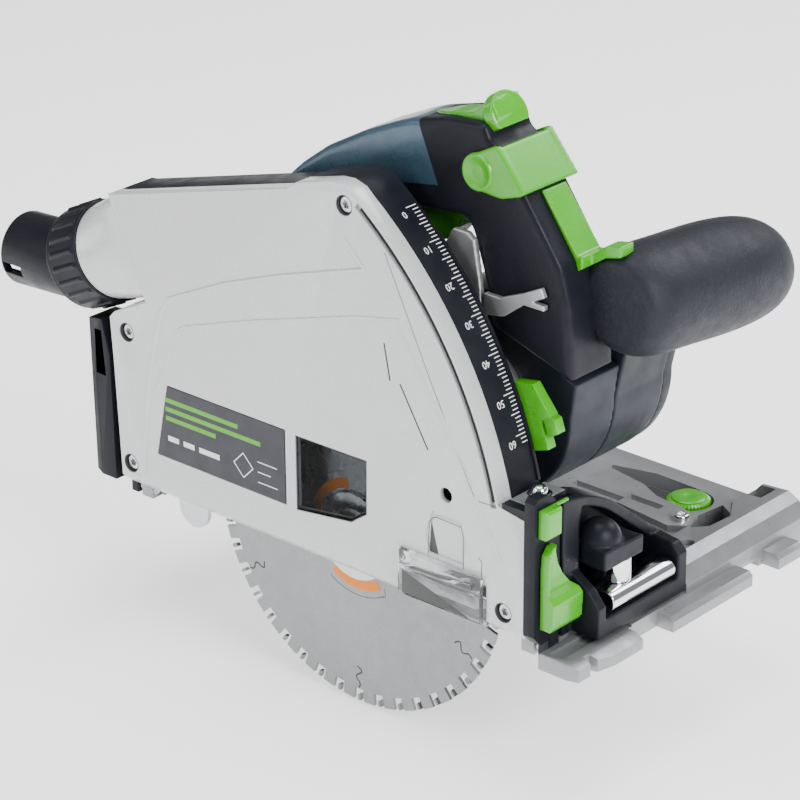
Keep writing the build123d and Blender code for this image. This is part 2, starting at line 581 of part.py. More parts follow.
with BuildPart() as dust_port:
    with BuildSketch(NECK_PLANE.offset(COLLAR_LONG + 0.4)):
        Circle(20.5)
        Circle(PORT_BORE, mode=Mode.SUBTRACT)
    extrude(amount=3)
    with BuildSketch(NECK_PLANE.offset(COLLAR_LONG + 3.4)):
        Circle(PORT_R)
        Circle(PORT_BORE, mode=Mode.SUBTRACT)
    revolve(axis=ELBOW_AXIS, revolution_arc=NECK_PITCH - PORT_PITCH)
    with BuildSketch(Plane(origin=ELBOW_END, x_dir=(0, 1, 0), z_dir=PORT_WAY)):
        Circle(PORT_R)
        Circle(PORT_BORE, mode=Mode.SUBTRACT)
    extrude(amount=ELBOW_END[0] - PORT_END)
    add(block((-208, -196), (-20, -12), (98, 103.5)), mode=Mode.SUBTRACT)
dust_port.part.label = "dust_port"
export_step(dust_port.part, "parts/dust_port.step")

with BuildPart() as tilt_plate:
    with BuildSketch(front(106.8)):
        with BuildLine():
            Polyline((-4, 0.8), (2.5, 0.8), (2.5, 68), (-1, 76), (-6, 79), (-12, 79), (-14, 77), (-14, 15), (-9.5, 10),
                     (-4, 10), close=True)
        make_face()
    extrude(amount=5.6)
    add(rod(0, TILT_Z, PIN_R + CLEAR, 100, 115), mode=Mode.SUBTRACT)
    add(slab([(94.5, 70.3), (106.9, 68.3), (106.9, 72.5), (94.5, 72.5)], -13.9, 2.5))
    add(slab([(94.5, 70.3), (106.4, 68.4), (106.4, 72.5), (94.5, 72.5)], 2.5, 13.9))
tilt_plate.part.label = "tilt_plate"
export_step(tilt_plate.part, "parts/tilt_plate.step")

with BuildPart() as rear_guard:
    add(slab([(-153, 12), (-150, 10), (-140.5, 10), (-141.5, 73), (-146, 90), (-154, 89)], COVER_Y, 2.5))
    add(slab([(-150.5, 62), (-144.5, 62), (-146.5, 84), (-150.5, 84)], COVER_Y - 1, -2), mode=Mode.SUBTRACT)
    add(block((-141, -136.6), (-4, 2.5), (0.8, 12)))
    add(rod(0, TILT_Z, PIN_R + CLEAR, -145, -130), mode=Mode.SUBTRACT)
    with BuildSketch(front(-151.6)):
        with BuildLine():
            tilt_arc(63, 94, 17)
            Line(arc_end(63, 17), arc_end(50, 17))
            tilt_arc(50, 17, 94)
            Line(arc_end(50, 94), arc_end(63, 94))
        make_face()
        with BuildLine():
            tilt_arc(REAR_PIN_R + 3.3, 74, 19.5)
            Line(arc_end(REAR_PIN_R + 3.3, 19.5), arc_end(REAR_PIN_R - 3.3, 19.5))
            tilt_arc(REAR_PIN_R - 3.3, 19.5, 74)
            Line(arc_end(REAR_PIN_R - 3.3, 74), arc_end(REAR_PIN_R + 3.3, 74))
        make_face(mode=Mode.SUBTRACT)
    extrude(amount=4.6)
rear_guard.part.label = "rear_guard"
export_step(rear_guard.part, "parts/rear_guard.step")

with BuildPart() as angle_pointer:
    add(block((112.4, 117.5), (-12, -1.5), (61, 74)))
    chamfer(angle_pointer.edges().group_by(Axis.X)[-1], 1.0)
    add(block((112.4, 114), (-1.5, 6.5), (72.6, 74)))
angle_pointer.part.label = "angle_pointer"
export_step(angle_pointer.part, "parts/angle_pointer.step")


with BuildPart() as tilt_latch:
    add(prism(front(112.8), [(-11, 56), (-1.5, 57), (2.5, 48), (8.2, 30), (9.4, 26), (9, 19), (2, 17), (-6, 22),
                             (-11, 30)], 4.4))
    chamfer(tilt_latch.edges().group_by(Axis.X)[-1], 0.8)
tilt_latch.part.label = "tilt_latch"
export_step(tilt_latch.part, "parts/tilt_latch.step")

with BuildPart() as plunge_shaft:
    add(disc(PIVOT_X, PIVOT_Z, 5, 3, 57))
    add(disc(PIVOT_X, PIVOT_Z, 8, 1, 4))
    add(disc(PIVOT_X, PIVOT_Z, 10.4, 54.2, 57))
plunge_shaft.part.label = "plunge_shaft"
export_step(plunge_shaft.part, "parts/plunge_shaft.step")

with BuildPart() as return_spring:
    with BuildLine():
        coil = Helix(pitch=3.2, height=9.6, radius=9.1, center=(PIVOT_X, 43.2, PIVOT_Z), direction=(0, 1, 0))
    with BuildSketch(Plane(origin=coil @ 0, z_dir=coil % 0)):
        Circle(1.1)
    sweep()
return_spring.part.label = "return_spring"
export_step(return_spring.part, "parts/return_spring.step")

STOP_NEAR, STOP_FAR = 14.3, 19.6

with BuildPart() as depth_stop:
    add(sector(198.5, 214, 17.5, 23.5, STOP_NEAR, STOP_FAR))
    add(slab([(76, 113), (87, 115), (97, 103), (88, 97)], STOP_NEAR, STOP_FAR))
    add(slab([(92, 104), (99, 102), (101, 96), (96, 93)], STOP_NEAR, STOP_FAR))
depth_stop.part.label = "depth_stop"
export_step(depth_stop.part, "parts/depth_stop.step")

# ================================================================ PLUNGING UNIT
CAST_NEAR, CAST_MID, CAST_FAR, LID_FAR = 15.0, 20.2, 38.0, 48.0
ARBOR_HUB_R = 21.5

with BuildPart() as gearbox_housing:
    add(hull([(PIVOT_X, PIVOT_Z, 11.5), (0, ARBOR_Z, ARBOR_HUB_R), (IDLER_X, IDLER_Z, 30),
              (MOTOR_X, MOTOR_Z, 20)], CAST_NEAR, CAST_MID))
    add(disc(0, ARBOR_Z, ARBOR_HUB_R, 6, CAST_NEAR))
    add(hull([(PIVOT_X, PIVOT_Z, 11.5), (0, ARBOR_Z, 19.5)], CAST_MID, 30))
    add(hull([(0, ARBOR_Z, ARBOR_HUB_R), (IDLER_X, IDLER_Z, 36.5), (MOTOR_X, MOTOR_Z, 22)], CAST_MID, CAST_FAR))
    add(disc(PIVOT_X, PIVOT_Z, 11.5, 30, 41.5))
    add(slab([(20, 92), (54, 100), (54, 136), (53, 150), (50, 168), (46, 171), (38, 171), (34, 164), (34, 145)],
             CAST_MID, CAST_MID + 3))
    for x, z in ((-60, 23), (-84, 23), (-38, 24)):
        add(disc(x, z, 7.5, 23, 31), mode=Mode.SUBTRACT)
    for (x, z, radius) in ((0, ARBOR_Z, 19.6), (IDLER_X, IDLER_Z, 33.2), (MOTOR_X, MOTOR_Z, 10.5)):
        add(disc(x, z, radius, 25, CAST_FAR + 1), mode=Mode.SUBTRACT)
    add(disc(0, ARBOR_Z, 17.5, 8, 18), mode=Mode.SUBTRACT)
    add(disc(0, ARBOR_Z, 12.5, 5, 26), mode=Mode.SUBTRACT)
    add(disc(PIVOT_X, PIVOT_Z, 7, CAST_NEAR - 1, 42), mode=Mode.SUBTRACT)
    add(disc(IDLER_X, IDLER_Z, 6, 22, 42))
gearbox_housing.part.label = "gearbox_housing"
export_step(gearbox_housing.part, "parts/gearbox_housing.step")

with BuildPart() as gearbox_cover:
    add(hull([(0, ARBOR_Z, 19.5), (IDLER_X, IDLER_Z, 36.5), (MOTOR_X, MOTOR_Z, 22)], CAST_FAR, CAST_FAR + 5))
    add(disc(0, ARBOR_Z, 19.5, CAST_FAR + 5, LID_FAR + 1))
    add(disc(MOTOR_X, MOTOR_Z, 15, CAST_FAR + 5, LID_FAR))
    add(disc(IDLER_X, IDLER_Z, 9, CAST_FAR + 5, CAST_FAR + 8))
    add(disc(IDLER_X, IDLER_Z, 6, CAST_FAR - 1, 42), mode=Mode.SUBTRACT)
    add(disc(0, ARBOR_Z, 14, CAST_FAR + 1, LID_FAR - 1), mode=Mode.SUBTRACT)
    add(disc(0, ARBOR_Z, 10, CAST_FAR - 1, CAST_FAR + 2), mode=Mode.SUBTRACT)
    add(disc(MOTOR_X, MOTOR_Z, 11, CAST_FAR + 1, LID_FAR - 1), mode=Mode.SUBTRACT)
    add(disc(MOTOR_X, MOTOR_Z, 8, CAST_FAR - 1, LID_FAR + 1), mode=Mode.SUBTRACT)
gearbox_cover.part.label = "gearbox_cover"
export_step(gearbox_cover.part, "parts/gearbox_cover.step")

with BuildPart() as stop_arm:
    add(slab([(55.3, 136), (66, 138), (78, 147), (88, 152), (86, 156), (76, 151), (64, 146), (55.3, 146)],
             CAST_MID, CAST_MID + 3))
    add(block((76, 88), (CAST_MID, 23.2), (146, 148.5)))
stop_arm.part.label = "stop_arm"
export_step(stop_arm.part, "parts/stop_arm.step")

# ---- gear train
with BuildPart() as arbor:
    add(disc(0, ARBOR_Z, 8.5, 4.8, 26))
    add(disc(0, ARBOR_Z, 12, 4.8, 7.5))
    add(disc(0, ARBOR_Z, 8.0, 26, 38.5))
    add(disc(0, ARBOR_Z, 6.0, 38.5, 46.6))
    add(disc(0, ARBOR_Z, 21, 0.8, 4.8))
    add(disc(0, ARBOR_Z, 10, -0.8, 0.8))
    add(disc(0, ARBOR_Z, 3.5, -2, 22), mode=Mode.SUBTRACT)
arbor.part.label = "arbor"
export_step(arbor.part, "parts/arbor.step")

with BuildPart() as arbor_gear:
    add(spur_gear(ARBOR_TEETH, 0, ARBOR_Z, TRAIN_DEG + 180 / ARBOR_TEETH, GEAR_NEAR, GEAR_FAR, 8.0))
arbor_gear.part.label = "arbor_gear"
export_step(arbor_gear.part, "parts/arbor_gear.step")

with BuildPart() as idler_gear:
    add(spur_gear(IDLER_TEETH, IDLER_X, IDLER_Z, TRAIN_DEG, GEAR_NEAR, GEAR_FAR, 6 + CLEAR))
    for side_y in (GEAR_NEAR - 1, GEAR_FAR - 3):
        add(disc(IDLER_X, IDLER_Z, 27, side_y, side_y + 4, 10), mode=Mode.SUBTRACT)
idler_gear.part.label = "idler_gear"
export_step(idler_gear.part, "parts/idler_gear.step")

with BuildPart() as rotor:
    add(spur_gear(PINION_TEETH, MOTOR_X, MOTOR_Z, TRAIN_DEG + 180 + 180 / PINION_TEETH, GEAR_NEAR, GEAR_FAR, 0))
    add(disc(MOTOR_X, MOTOR_Z, 4, GEAR_FAR, 98))
    add(disc(MOTOR_X, MOTOR_Z, 21, 58, 88))
rotor.part.label = "rotor"
export_step(rotor.part, "parts/rotor.step")

with BuildPart() as cooling_fan:
    add(disc(MOTOR_X, MOTOR_Z, 34, 50, 51.5))
    add(disc(MOTOR_X, MOTOR_Z, 9, 50, 56))
    with BuildSketch(side(56)):
        with Locations((MOTOR_X, MOTOR_Z)):
            with PolarLocations(22, 15):
                Rectangle(22, 1.6)
    extrude(amount=5)
    add(disc(MOTOR_X, MOTOR_Z, 4, 49, 57), mode=Mode.SUBTRACT)
cooling_fan.part.label = "cooling_fan"
export_step(cooling_fan.part, "parts/cooling_fan.step")

BLADE_BORE = 10.0

with BuildPart() as saw_blade:
    with BuildSketch(side(0.5 * BLADE_T)):
        with Locations((0, ARBOR_Z)):
            Circle(BLADE_R - 6)
            Circle(BLADE_BORE, mode=Mode.SUBTRACT)
            with PolarLocations(BLADE_R - 4.6, BLADE_TEETH):
                Rectangle(9, 6.4)
    extrude(amount=BLADE_T)
saw_blade.part.label = "saw_blade"
export_step(saw_blade.part, "parts/saw_blade.step")

with BuildPart() as outer_flange:
    add(disc(0, ARBOR_Z, 21, -3.2, -0.8))
    add(disc(0, ARBOR_Z, 13, -4.4, -3.2))
    add(disc(0, ARBOR_Z, 3.7, -5, 0), mode=Mode.SUBTRACT)
outer_flange.part.label = "outer_flange"
export_step(outer_flange.part, "parts/outer_flange.step")

with BuildPart() as arbor_bolt:
    add(disc(0, ARBOR_Z, 7.5, -9.4, -4.4))
    add(disc(0, ARBOR_Z, 3.5, -4.4, 20))
    with BuildSketch(side(-6.4)):
        with Locations((0, ARBOR_Z)):
            RegularPolygon(3.4, 6)
    extrude(amount=4, mode=Mode.SUBTRACT)
arbor_bolt.part.label = "arbor_bolt"
export_step(arbor_bolt.part, "parts/arbor_bolt.step")

with BuildPart() as bearings:
    add(disc(0, ARBOR_Z, 17.5, 8, 18, 8.5 + CLEAR))
    add(disc(0, ARBOR_Z, 14, 39, 47, 6 + CLEAR))
    add(disc(MOTOR_X, MOTOR_Z, 11, 39.5, 46.5, 4 + CLEAR))
    add(disc(MOTOR_X, MOTOR_Z, 11, 91, 97, 4 + CLEAR))
    for y_low, y_high in ((15, 23), (33.5, 41.5)):  # plain sleeves of the plunge shaft
        add(disc(PIVOT_X, PIVOT_Z, 7, y_low, y_high, 5 + CLEAR))
bearings.part.label = "bearings"
export_step(bearings.part, "parts/bearings.step")

with BuildPart() as stator:
    add(disc(MOTOR_X, MOTOR_Z, 42, 58, 88, 22.5))
stator.part.label = "stator"
export_step(stator.part, "parts/stator.step")

# ---- motor and electronics
GRIP_STATIONS = ((40, 17.0), (44, 21.5), (52, 24.0), (70, 24.8), (95, 25.2), (120, 24.6), (138, 21.5), (147, 16.5),
                 (152, 9.0))


def grip_ring(y, radius):
    """Circle on one station of the front grip."""
    ratio = (y - 40) / 110
    with BuildSketch(side(y), mode=Mode.PRIVATE) as ring:
        with Locations((110 - ratio, 148.0 - 12 * ratio)):
            Circle(radius)
    return ring.sketch


with BuildPart() as front_grip:
    loft(sections=[grip_ring(y, radius) for y, radius in GRIP_STATIONS])
front_grip.part.label = "front_grip"
export_step(front_grip.part, "parts/front_grip.step")

SHROUD_NEAR, SHELL_NEAR, CAP_NEAR, CAP_FAR = 30.0, 60.3, 95.2, 101.0
SHROUD_CORNER = [(40, 95), (95.4, 95), (98, 112), (60, 128), (40, 120)]
SHELL_CORNER = [(40, 95), (95.4, 95), (101, 120), (100, 135), (60, 140), (30, 140)]
DIAL_X, DIAL_Z = 78.0, 122.0

with BuildPart() as gear_shroud:
    add(disc(MOTOR_X, MOTOR_Z, MOTOR_R, SHROUD_NEAR, SHELL_NEAR - 0.3))
    add(slab(SHROUD_CORNER, SHROUD_NEAR, SHELL_NEAR - 0.3))
    add(disc(MOTOR_X, MOTOR_Z, MOTOR_R - 4, 49, SHELL_NEAR), mode=Mode.SUBTRACT)
    add(hull([(0, ARBOR_Z, 19.9), (IDLER_X, IDLER_Z, 36.9), (MOTOR_X, MOTOR_Z, 22.4)], SHROUD_NEAR - 1, 50),
        mode=Mode.SUBTRACT)
gear_shroud.part.label = "gear_shroud"
export_step(gear_shroud.part, "parts/gear_shroud.step")

with BuildPart() as motor_housing:
    add(disc(MOTOR_X, MOTOR_Z, MOTOR_R, SHELL_NEAR, CAP_NEAR - 0.2))
    add(slab(SHELL_CORNER, SHELL_NEAR, CAP_NEAR - 0.2))
    add(disc(MOTOR_X, MOTOR_Z, 42, SHELL_NEAR - 1, CAP_NEAR + 1), mode=Mode.SUBTRACT)
    add(disc(DIAL_X, DIAL_Z, 3.0, CAP_NEAR - 4, CAP_NEAR + 1), mode=Mode.SUBTRACT)
    add(front_grip.part, mode=Mode.SUBTRACT)
motor_housing.part.label = "motor_housing"
export_step(motor_housing.part, "parts/motor_housing.step")

with BuildPart() as motor_end_cap:
    add(disc(MOTOR_X, MOTOR_Z, MOTOR_R - 0.5, CAP_NEAR, CAP_FAR))
    add(slab([(40, 95), (94.5, 95), (100, 120), (99, 134), (60, 139), (30, 139)], CAP_NEAR, CAP_FAR))
    add(disc(MOTOR_X, MOTOR_Z, 15, 90.5, CAP_NEAR))
    add(disc(MOTOR_X, MOTOR_Z, 41.8, 92, CAP_NEAR, 38))
    add(disc(MOTOR_X, MOTOR_Z, 11, 90, 98.5), mode=Mode.SUBTRACT)
    with BuildSketch(side(CAP_FAR)):
        with Locations((MOTOR_X, MOTOR_Z)):
            with PolarLocations(28, 24):
                Rectangle(14, 2.6)
    extrude(amount=8, mode=Mode.SUBTRACT)
    add(disc(DIAL_X, DIAL_Z, 9.3, 96, CAP_FAR + 1), mode=Mode.SUBTRACT)
    add(disc(DIAL_X, DIAL_Z, 2.3, 90, 97), mode=Mode.SUBTRACT)
    add(front_grip.part, mode=Mode.SUBTRACT)
motor_end_cap.part.label = "motor_end_cap"
export_step(motor_end_cap.part, "parts/motor_end_cap.step")

with BuildPart() as speed_dial:
    add(disc(DIAL_X, DIAL_Z, 9.0, 96.3, CAP_FAR + 1.6))
    add(disc(DIAL_X, DIAL_Z, 2.0, 92.5, 96.3))
    add(block((DIAL_X - 0.8, DIAL_X + 0.8), (CAP_FAR + 1, CAP_FAR + 3), (DIAL_Z + 3, DIAL_Z + 9.5)),
        mode=Mode.SUBTRACT)
speed_dial.part.label = "speed_dial"
export_step(speed_dial.part, "parts/speed_dial.step")

BAY = [(-85, 52), (-11, 52), (-11, 88), (-4, 118), (10, 144), (-20, 131), (-48, 111.3), (-88, 111.3)]

with BuildPart() as electronics_housing:
    add(slab(BAY, 27, 57))
    add(disc(MOTOR_X, MOTOR_Z, MOTOR_R + 0.8, 20, 60), mode=Mode.SUBTRACT)
    add(hull([(0, ARBOR_Z, 22), (IDLER_X, IDLER_Z, 36.9), (MOTOR_X, MOTOR_Z, 22.4)], 26, 50),
        mode=Mode.SUBTRACT)
    add(block((-81, -15), (31, 53), (56, 104)), mode=Mode.SUBTRACT)
    add(rod(42, 82, 8, -90, -80), mode=Mode.SUBTRACT)
    for z in (62, 68, 74, 80, 86):
        add(block((-74, -44), (26, 28.2), (z, z + 2.4)), mode=Mode.SUBTRACT)
electronics_housing.part.label = "electronics_housing"
export_step(electronics_housing.part, "parts/electronics_housing.step")

with BuildPart() as controller:
    add(block((-70, -18), (33, 51), (60, 100)))
controller.part.label = "controller"
export_step(controller.part, "parts/controller.step")

with BuildPart() as power_inlet:
    add(rod(42, 82, 8, -98, -81, 5.5))
    add(rod(42, 82, 12, -98, -88, 7.5))
    add(rod(42, 82, 6, -84, -81))
    for y in (39, 45):
        add(rod(y, 82, 1.2, -95, -83))
power_inlet.part.label = "power_inlet"
export_step(power_inlet.part, "parts/power_inlet.step")

# ---- handle
LEVER_X, LEVER_Z = 51.5, 199.0
TRIGGER_X, TRIGGER_Z = 33.0, 179.0
LOCK_X, LOCK_Z = 19.5, 211.5
HANDLE = [(56, 130), (100, 116), (98, 150), (93, 166), (73, 194), (58.5, 211.5), (60, 214), (56, 221), (51, 221),
          (30, 217), (10, 212), (2, 209), (-16, 201), (-38, 189), (-53, 178), (-66, 166), (-76, 152), (-85, 130),
          (-88, 111.6), (-50, 111.6), (-50, 135), (-30, 158), (0, 172), (42, 176), (46, 170), (55, 142)]
REAR_SHELL = [(14.5, 213.1), (10, 212), (2, 209), (-16, 201), (-38, 189), (-53, 178), (-66, 166), (-76, 152),
              (-85, 130), (-88, 111.6), (-66, 111.6), (-64, 136), (-40, 164), (-6, 181), (27, 186.5)]
SHELL_CUT = [(14.5, 213.1), (13, 240), (-120, 240), (-120, 100), (-66, 100), (-66, 111.6), (-64, 136), (-40, 164),
             (-6, 181), (27, 186.5)]


def handle_half(y_low, y_high):
    """Black half of the handle between two depths, with room for switch, trigger, button and lever."""
    with BuildPart(mode=Mode.PRIVATE) as piece:
        add(slab(HANDLE, y_low, y_high))
        add(slab(SHELL_CUT, y_low - 1, y_high + 1), mode=Mode.SUBTRACT)
        add(block((-100, -40), (20, 27), (100, 150)), mode=Mode.SUBTRACT)
        add(disc(MOTOR_X, MOTOR_Z, MOTOR_R + 0.5, 20, 60), mode=Mode.SUBTRACT)
        add(slab([(40, 90), (95.8, 90), (98.6, 112.4), (60, 128.6), (40, 120)], 20, 60), mode=Mode.SUBTRACT)
        add(front_grip.part, mode=Mode.SUBTRACT)
        add(block((4, 40), (31, 46), (165, 203)), mode=Mode.SUBTRACT)
        add(slab([(14, 208.8), (62, 213.2), (62, 240), (14, 240)], 26.5, 47.5), mode=Mode.SUBTRACT)
        add(sector(13.2, 17.9, 38, 84, 20, 60, LEVER_X, LEVER_Z), mode=Mode.SUBTRACT)
        add(disc(LEVER_X, LEVER_Z, 3 + CLEAR, 20, 60), mode=Mode.SUBTRACT)
    return piece.part


with BuildPart() as handle_left:
    add(handle_half(HANDLE_NEAR, HANDLE_MID - 0.1))
    add(disc(TRIGGER_X, TRIGGER_Z, 2, HANDLE_NEAR, 46))
    add(disc(LOCK_X, LOCK_Z, 1.5, HANDLE_NEAR, 47))
handle_left.part.label = "handle_left"
export_step(handle_left.part, "parts/handle_left.step")

with BuildPart() as handle_right:
    add(handle_half(HANDLE_MID + 0.1, HANDLE_FAR))
handle_right.part.label = "handle_right"
export_step(handle_right.part, "parts/handle_right.step")

with BuildPart() as handle_rear_shell:
    add(slab(REAR_SHELL, HANDLE_NEAR, HANDLE_FAR))
    add(block((-100, -40), (20, 27), (100, 150)), mode=Mode.SUBTRACT)
    add(block((4, 40), (31, 46), (165, 203)), mode=Mode.SUBTRACT)
    add(slab([(13, 208), (62, 213.2), (62, 240), (13, 240)], 26.5, 47.5), mode=Mode.SUBTRACT)
handle_rear_shell.part.label = "handle_rear_shell"
export_step(handle_rear_shell.part, "parts/handle_rear_shell.step")

with BuildPart() as grip_inlay:
    add(slab([(74.2, 192.3), (75.3, 193.1), (94.4, 168.2), (98, 168.8), (104, 173.4), (112, 175), (112, 170),
              (104, 168), (92, 160), (73, 190)], 34, 49.5))
    add(slab(HANDLE, 20, 60), mode=Mode.SUBTRACT)
    add(front_grip.part, mode=Mode.SUBTRACT)
    add(block((97, 120), (30, 40.2), (150, 180)), mode=Mode.SUBTRACT)
grip_inlay.part.label = "grip_inlay"
export_step(grip_inlay.part, "parts/grip_inlay.step")

with BuildPart() as switch_body:
    add(block((6, 30), (32, 45), (190, 202.8)))
switch_body.part.label = "switch_body"
export_step(switch_body.part, "parts/switch_body.step")

with BuildPart() as trigger:
    add(slab([(8, 176), (9, 168), (12, 161), (18, 157.5), (25, 159), (31, 166), (35, 174), (37, 182), (10, 185)],
             31.6, 45.4))
    add(disc(TRIGGER_X, TRIGGER_Z, 2 + CLEAR, 30, 47), mode=Mode.SUBTRACT)
trigger.part.label = "trigger"
export_step(trigger.part, "parts/trigger.step")

with BuildPart() as lock_button:
    add(slab([(16, 213), (17, 209.6), (21, 209.8), (50, 216), (57, 217.2), (57.6, 220), (55, 226.5), (52, 230.5),
              (49, 229), (45, 223), (38, 218), (28, 216)], 27, 47))
    add(disc(LOCK_X, LOCK_Z, 1.5 + CLEAR, 26, 48), mode=Mode.SUBTRACT)
lock_button.part.label = "lock_button"
export_step(lock_button.part, "parts/lock_button.step")

CHEEK = [(45, 204), (51, 207.5), (59.6, 211.9), (62.0, 212.2), (76.4, 194.9), (73.6, 193), (64, 190), (51, 190.8),
         (44.6, 194)]

with BuildPart() as blade_change_lever:
    for y_low, y_high in ((20.3, 23.2), (53.8, 56.7)):
        add(slab(CHEEK, y_low, y_high))
        add(disc(LEVER_X, LEVER_Z, 8.2, y_low, y_high))
    add(slab([(59.9, 211.0), (62.4, 211.6), (76.4, 194.9), (74.2, 193.2)], 20.3, 56.7))
    add(disc(LEVER_X, LEVER_Z, 3, 20.3, 56.7))
blade_change_lever.part.label = "blade_change_lever"
export_step(blade_change_lever.part, "parts/blade_change_lever.step")
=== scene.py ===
"""Looks of the track plunge saw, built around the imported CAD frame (metres)."""
import json
import math

import bmesh
import bpy
from mathutils import Matrix, Vector
from mathutils.bvhtree import BVHTree


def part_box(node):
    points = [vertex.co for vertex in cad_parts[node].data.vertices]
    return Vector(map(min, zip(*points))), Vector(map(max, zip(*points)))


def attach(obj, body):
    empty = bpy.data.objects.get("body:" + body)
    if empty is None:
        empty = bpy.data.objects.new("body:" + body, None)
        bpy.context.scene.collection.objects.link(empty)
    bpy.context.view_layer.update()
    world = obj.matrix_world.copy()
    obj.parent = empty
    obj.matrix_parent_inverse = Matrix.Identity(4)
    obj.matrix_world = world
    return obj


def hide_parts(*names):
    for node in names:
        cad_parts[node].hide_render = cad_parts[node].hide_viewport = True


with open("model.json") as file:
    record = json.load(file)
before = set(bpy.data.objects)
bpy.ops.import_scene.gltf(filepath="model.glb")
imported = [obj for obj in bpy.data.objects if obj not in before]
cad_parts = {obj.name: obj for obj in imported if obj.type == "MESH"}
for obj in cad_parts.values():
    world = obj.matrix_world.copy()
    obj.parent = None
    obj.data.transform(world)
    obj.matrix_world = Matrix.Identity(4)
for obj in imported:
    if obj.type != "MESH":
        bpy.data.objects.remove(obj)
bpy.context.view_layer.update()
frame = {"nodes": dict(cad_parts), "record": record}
MM = 0.001
PIVOT = (-108.0, 23.0)      # X, Z of the plunge pivot, mm
BLADE = (0.0, 22.0)         # X, Z of the arbor at full plunge, mm
RIM_R = 205.5               # radius of the housing's curved rim about the pivot, mm
COVER_EDGE_R = 203.2        # middle of the groove inside the cover's curved edge, mm
FLOOR_Z = -0.064            # floor just under the lowest tooth, m
BODY_OF = {n: b for b, names in frame["record"]["behaviour"]["bodies"].items() for n in names}
SLOT_OF = {s["node"]: s["material_slot"] for s in frame["record"]["subparts"]}


# ------------------------------------------------------------ camera, light and floor
def add_camera():
    az, el, roll = math.radians(41.82), math.radians(24.215), math.radians(-0.4486)
    ahead = Vector((-math.sin(az) * math.cos(el), math.cos(az) * math.cos(el), -math.sin(el)))
    right = Vector((math.cos(az), math.sin(az), 0))
    up = right.cross(ahead)
    right, up = (math.cos(roll) * right + math.sin(roll) * up, math.cos(roll) * up - math.sin(roll) * right)
    data = bpy.data.cameras.new("camera")
    data.lens, data.sensor_width = 142.09, 36.0
    cam = bpy.data.objects.new("camera", data)
    bpy.context.scene.collection.objects.link(cam)
    turn = Matrix((right, up, -ahead)).transposed().to_4x4()
    cam.matrix_world = Matrix.Translation((0.8498, -0.9211, 0.6506)) @ turn
    bpy.context.scene.camera = cam


def add_light(name, place, target, size, power):
    data = bpy.data.lights.new(name, "AREA")
    data.shape, data.size, data.energy = "DISK", size, power
    lamp = bpy.data.objects.new(name, data)
    lamp.location = place
    lamp.rotation_euler = (Vector(target) - Vector(place)).to_track_quat("-Z", "Y").to_euler()
    bpy.context.scene.collection.objects.link(lamp)


def add_world():
    world = bpy.data.worlds.new("studio")
    bpy.context.scene.world = world
    world.use_nodes = True
    back = world.node_tree.nodes["Background"]
    back.inputs["Color"].default_value = (0.93, 0.95, 0.97, 1)
    back.inputs["Strength"].default_value = 0.30


def add_floor():
    mesh = bpy.data.meshes.new("floor")
    half = 4.0
    corners = [(-half, -half, FLOOR_Z), (half, -half, FLOOR_Z), (half, half, FLOOR_Z), (-half, half, FLOOR_Z)]
    mesh.from_pydata(corners, [], [(0, 1, 2, 3)])
    floor = bpy.data.objects.new("floor", mesh)
    bpy.context.scene.collection.objects.link(floor)
    floor.data.materials.append(MATS["floor"])


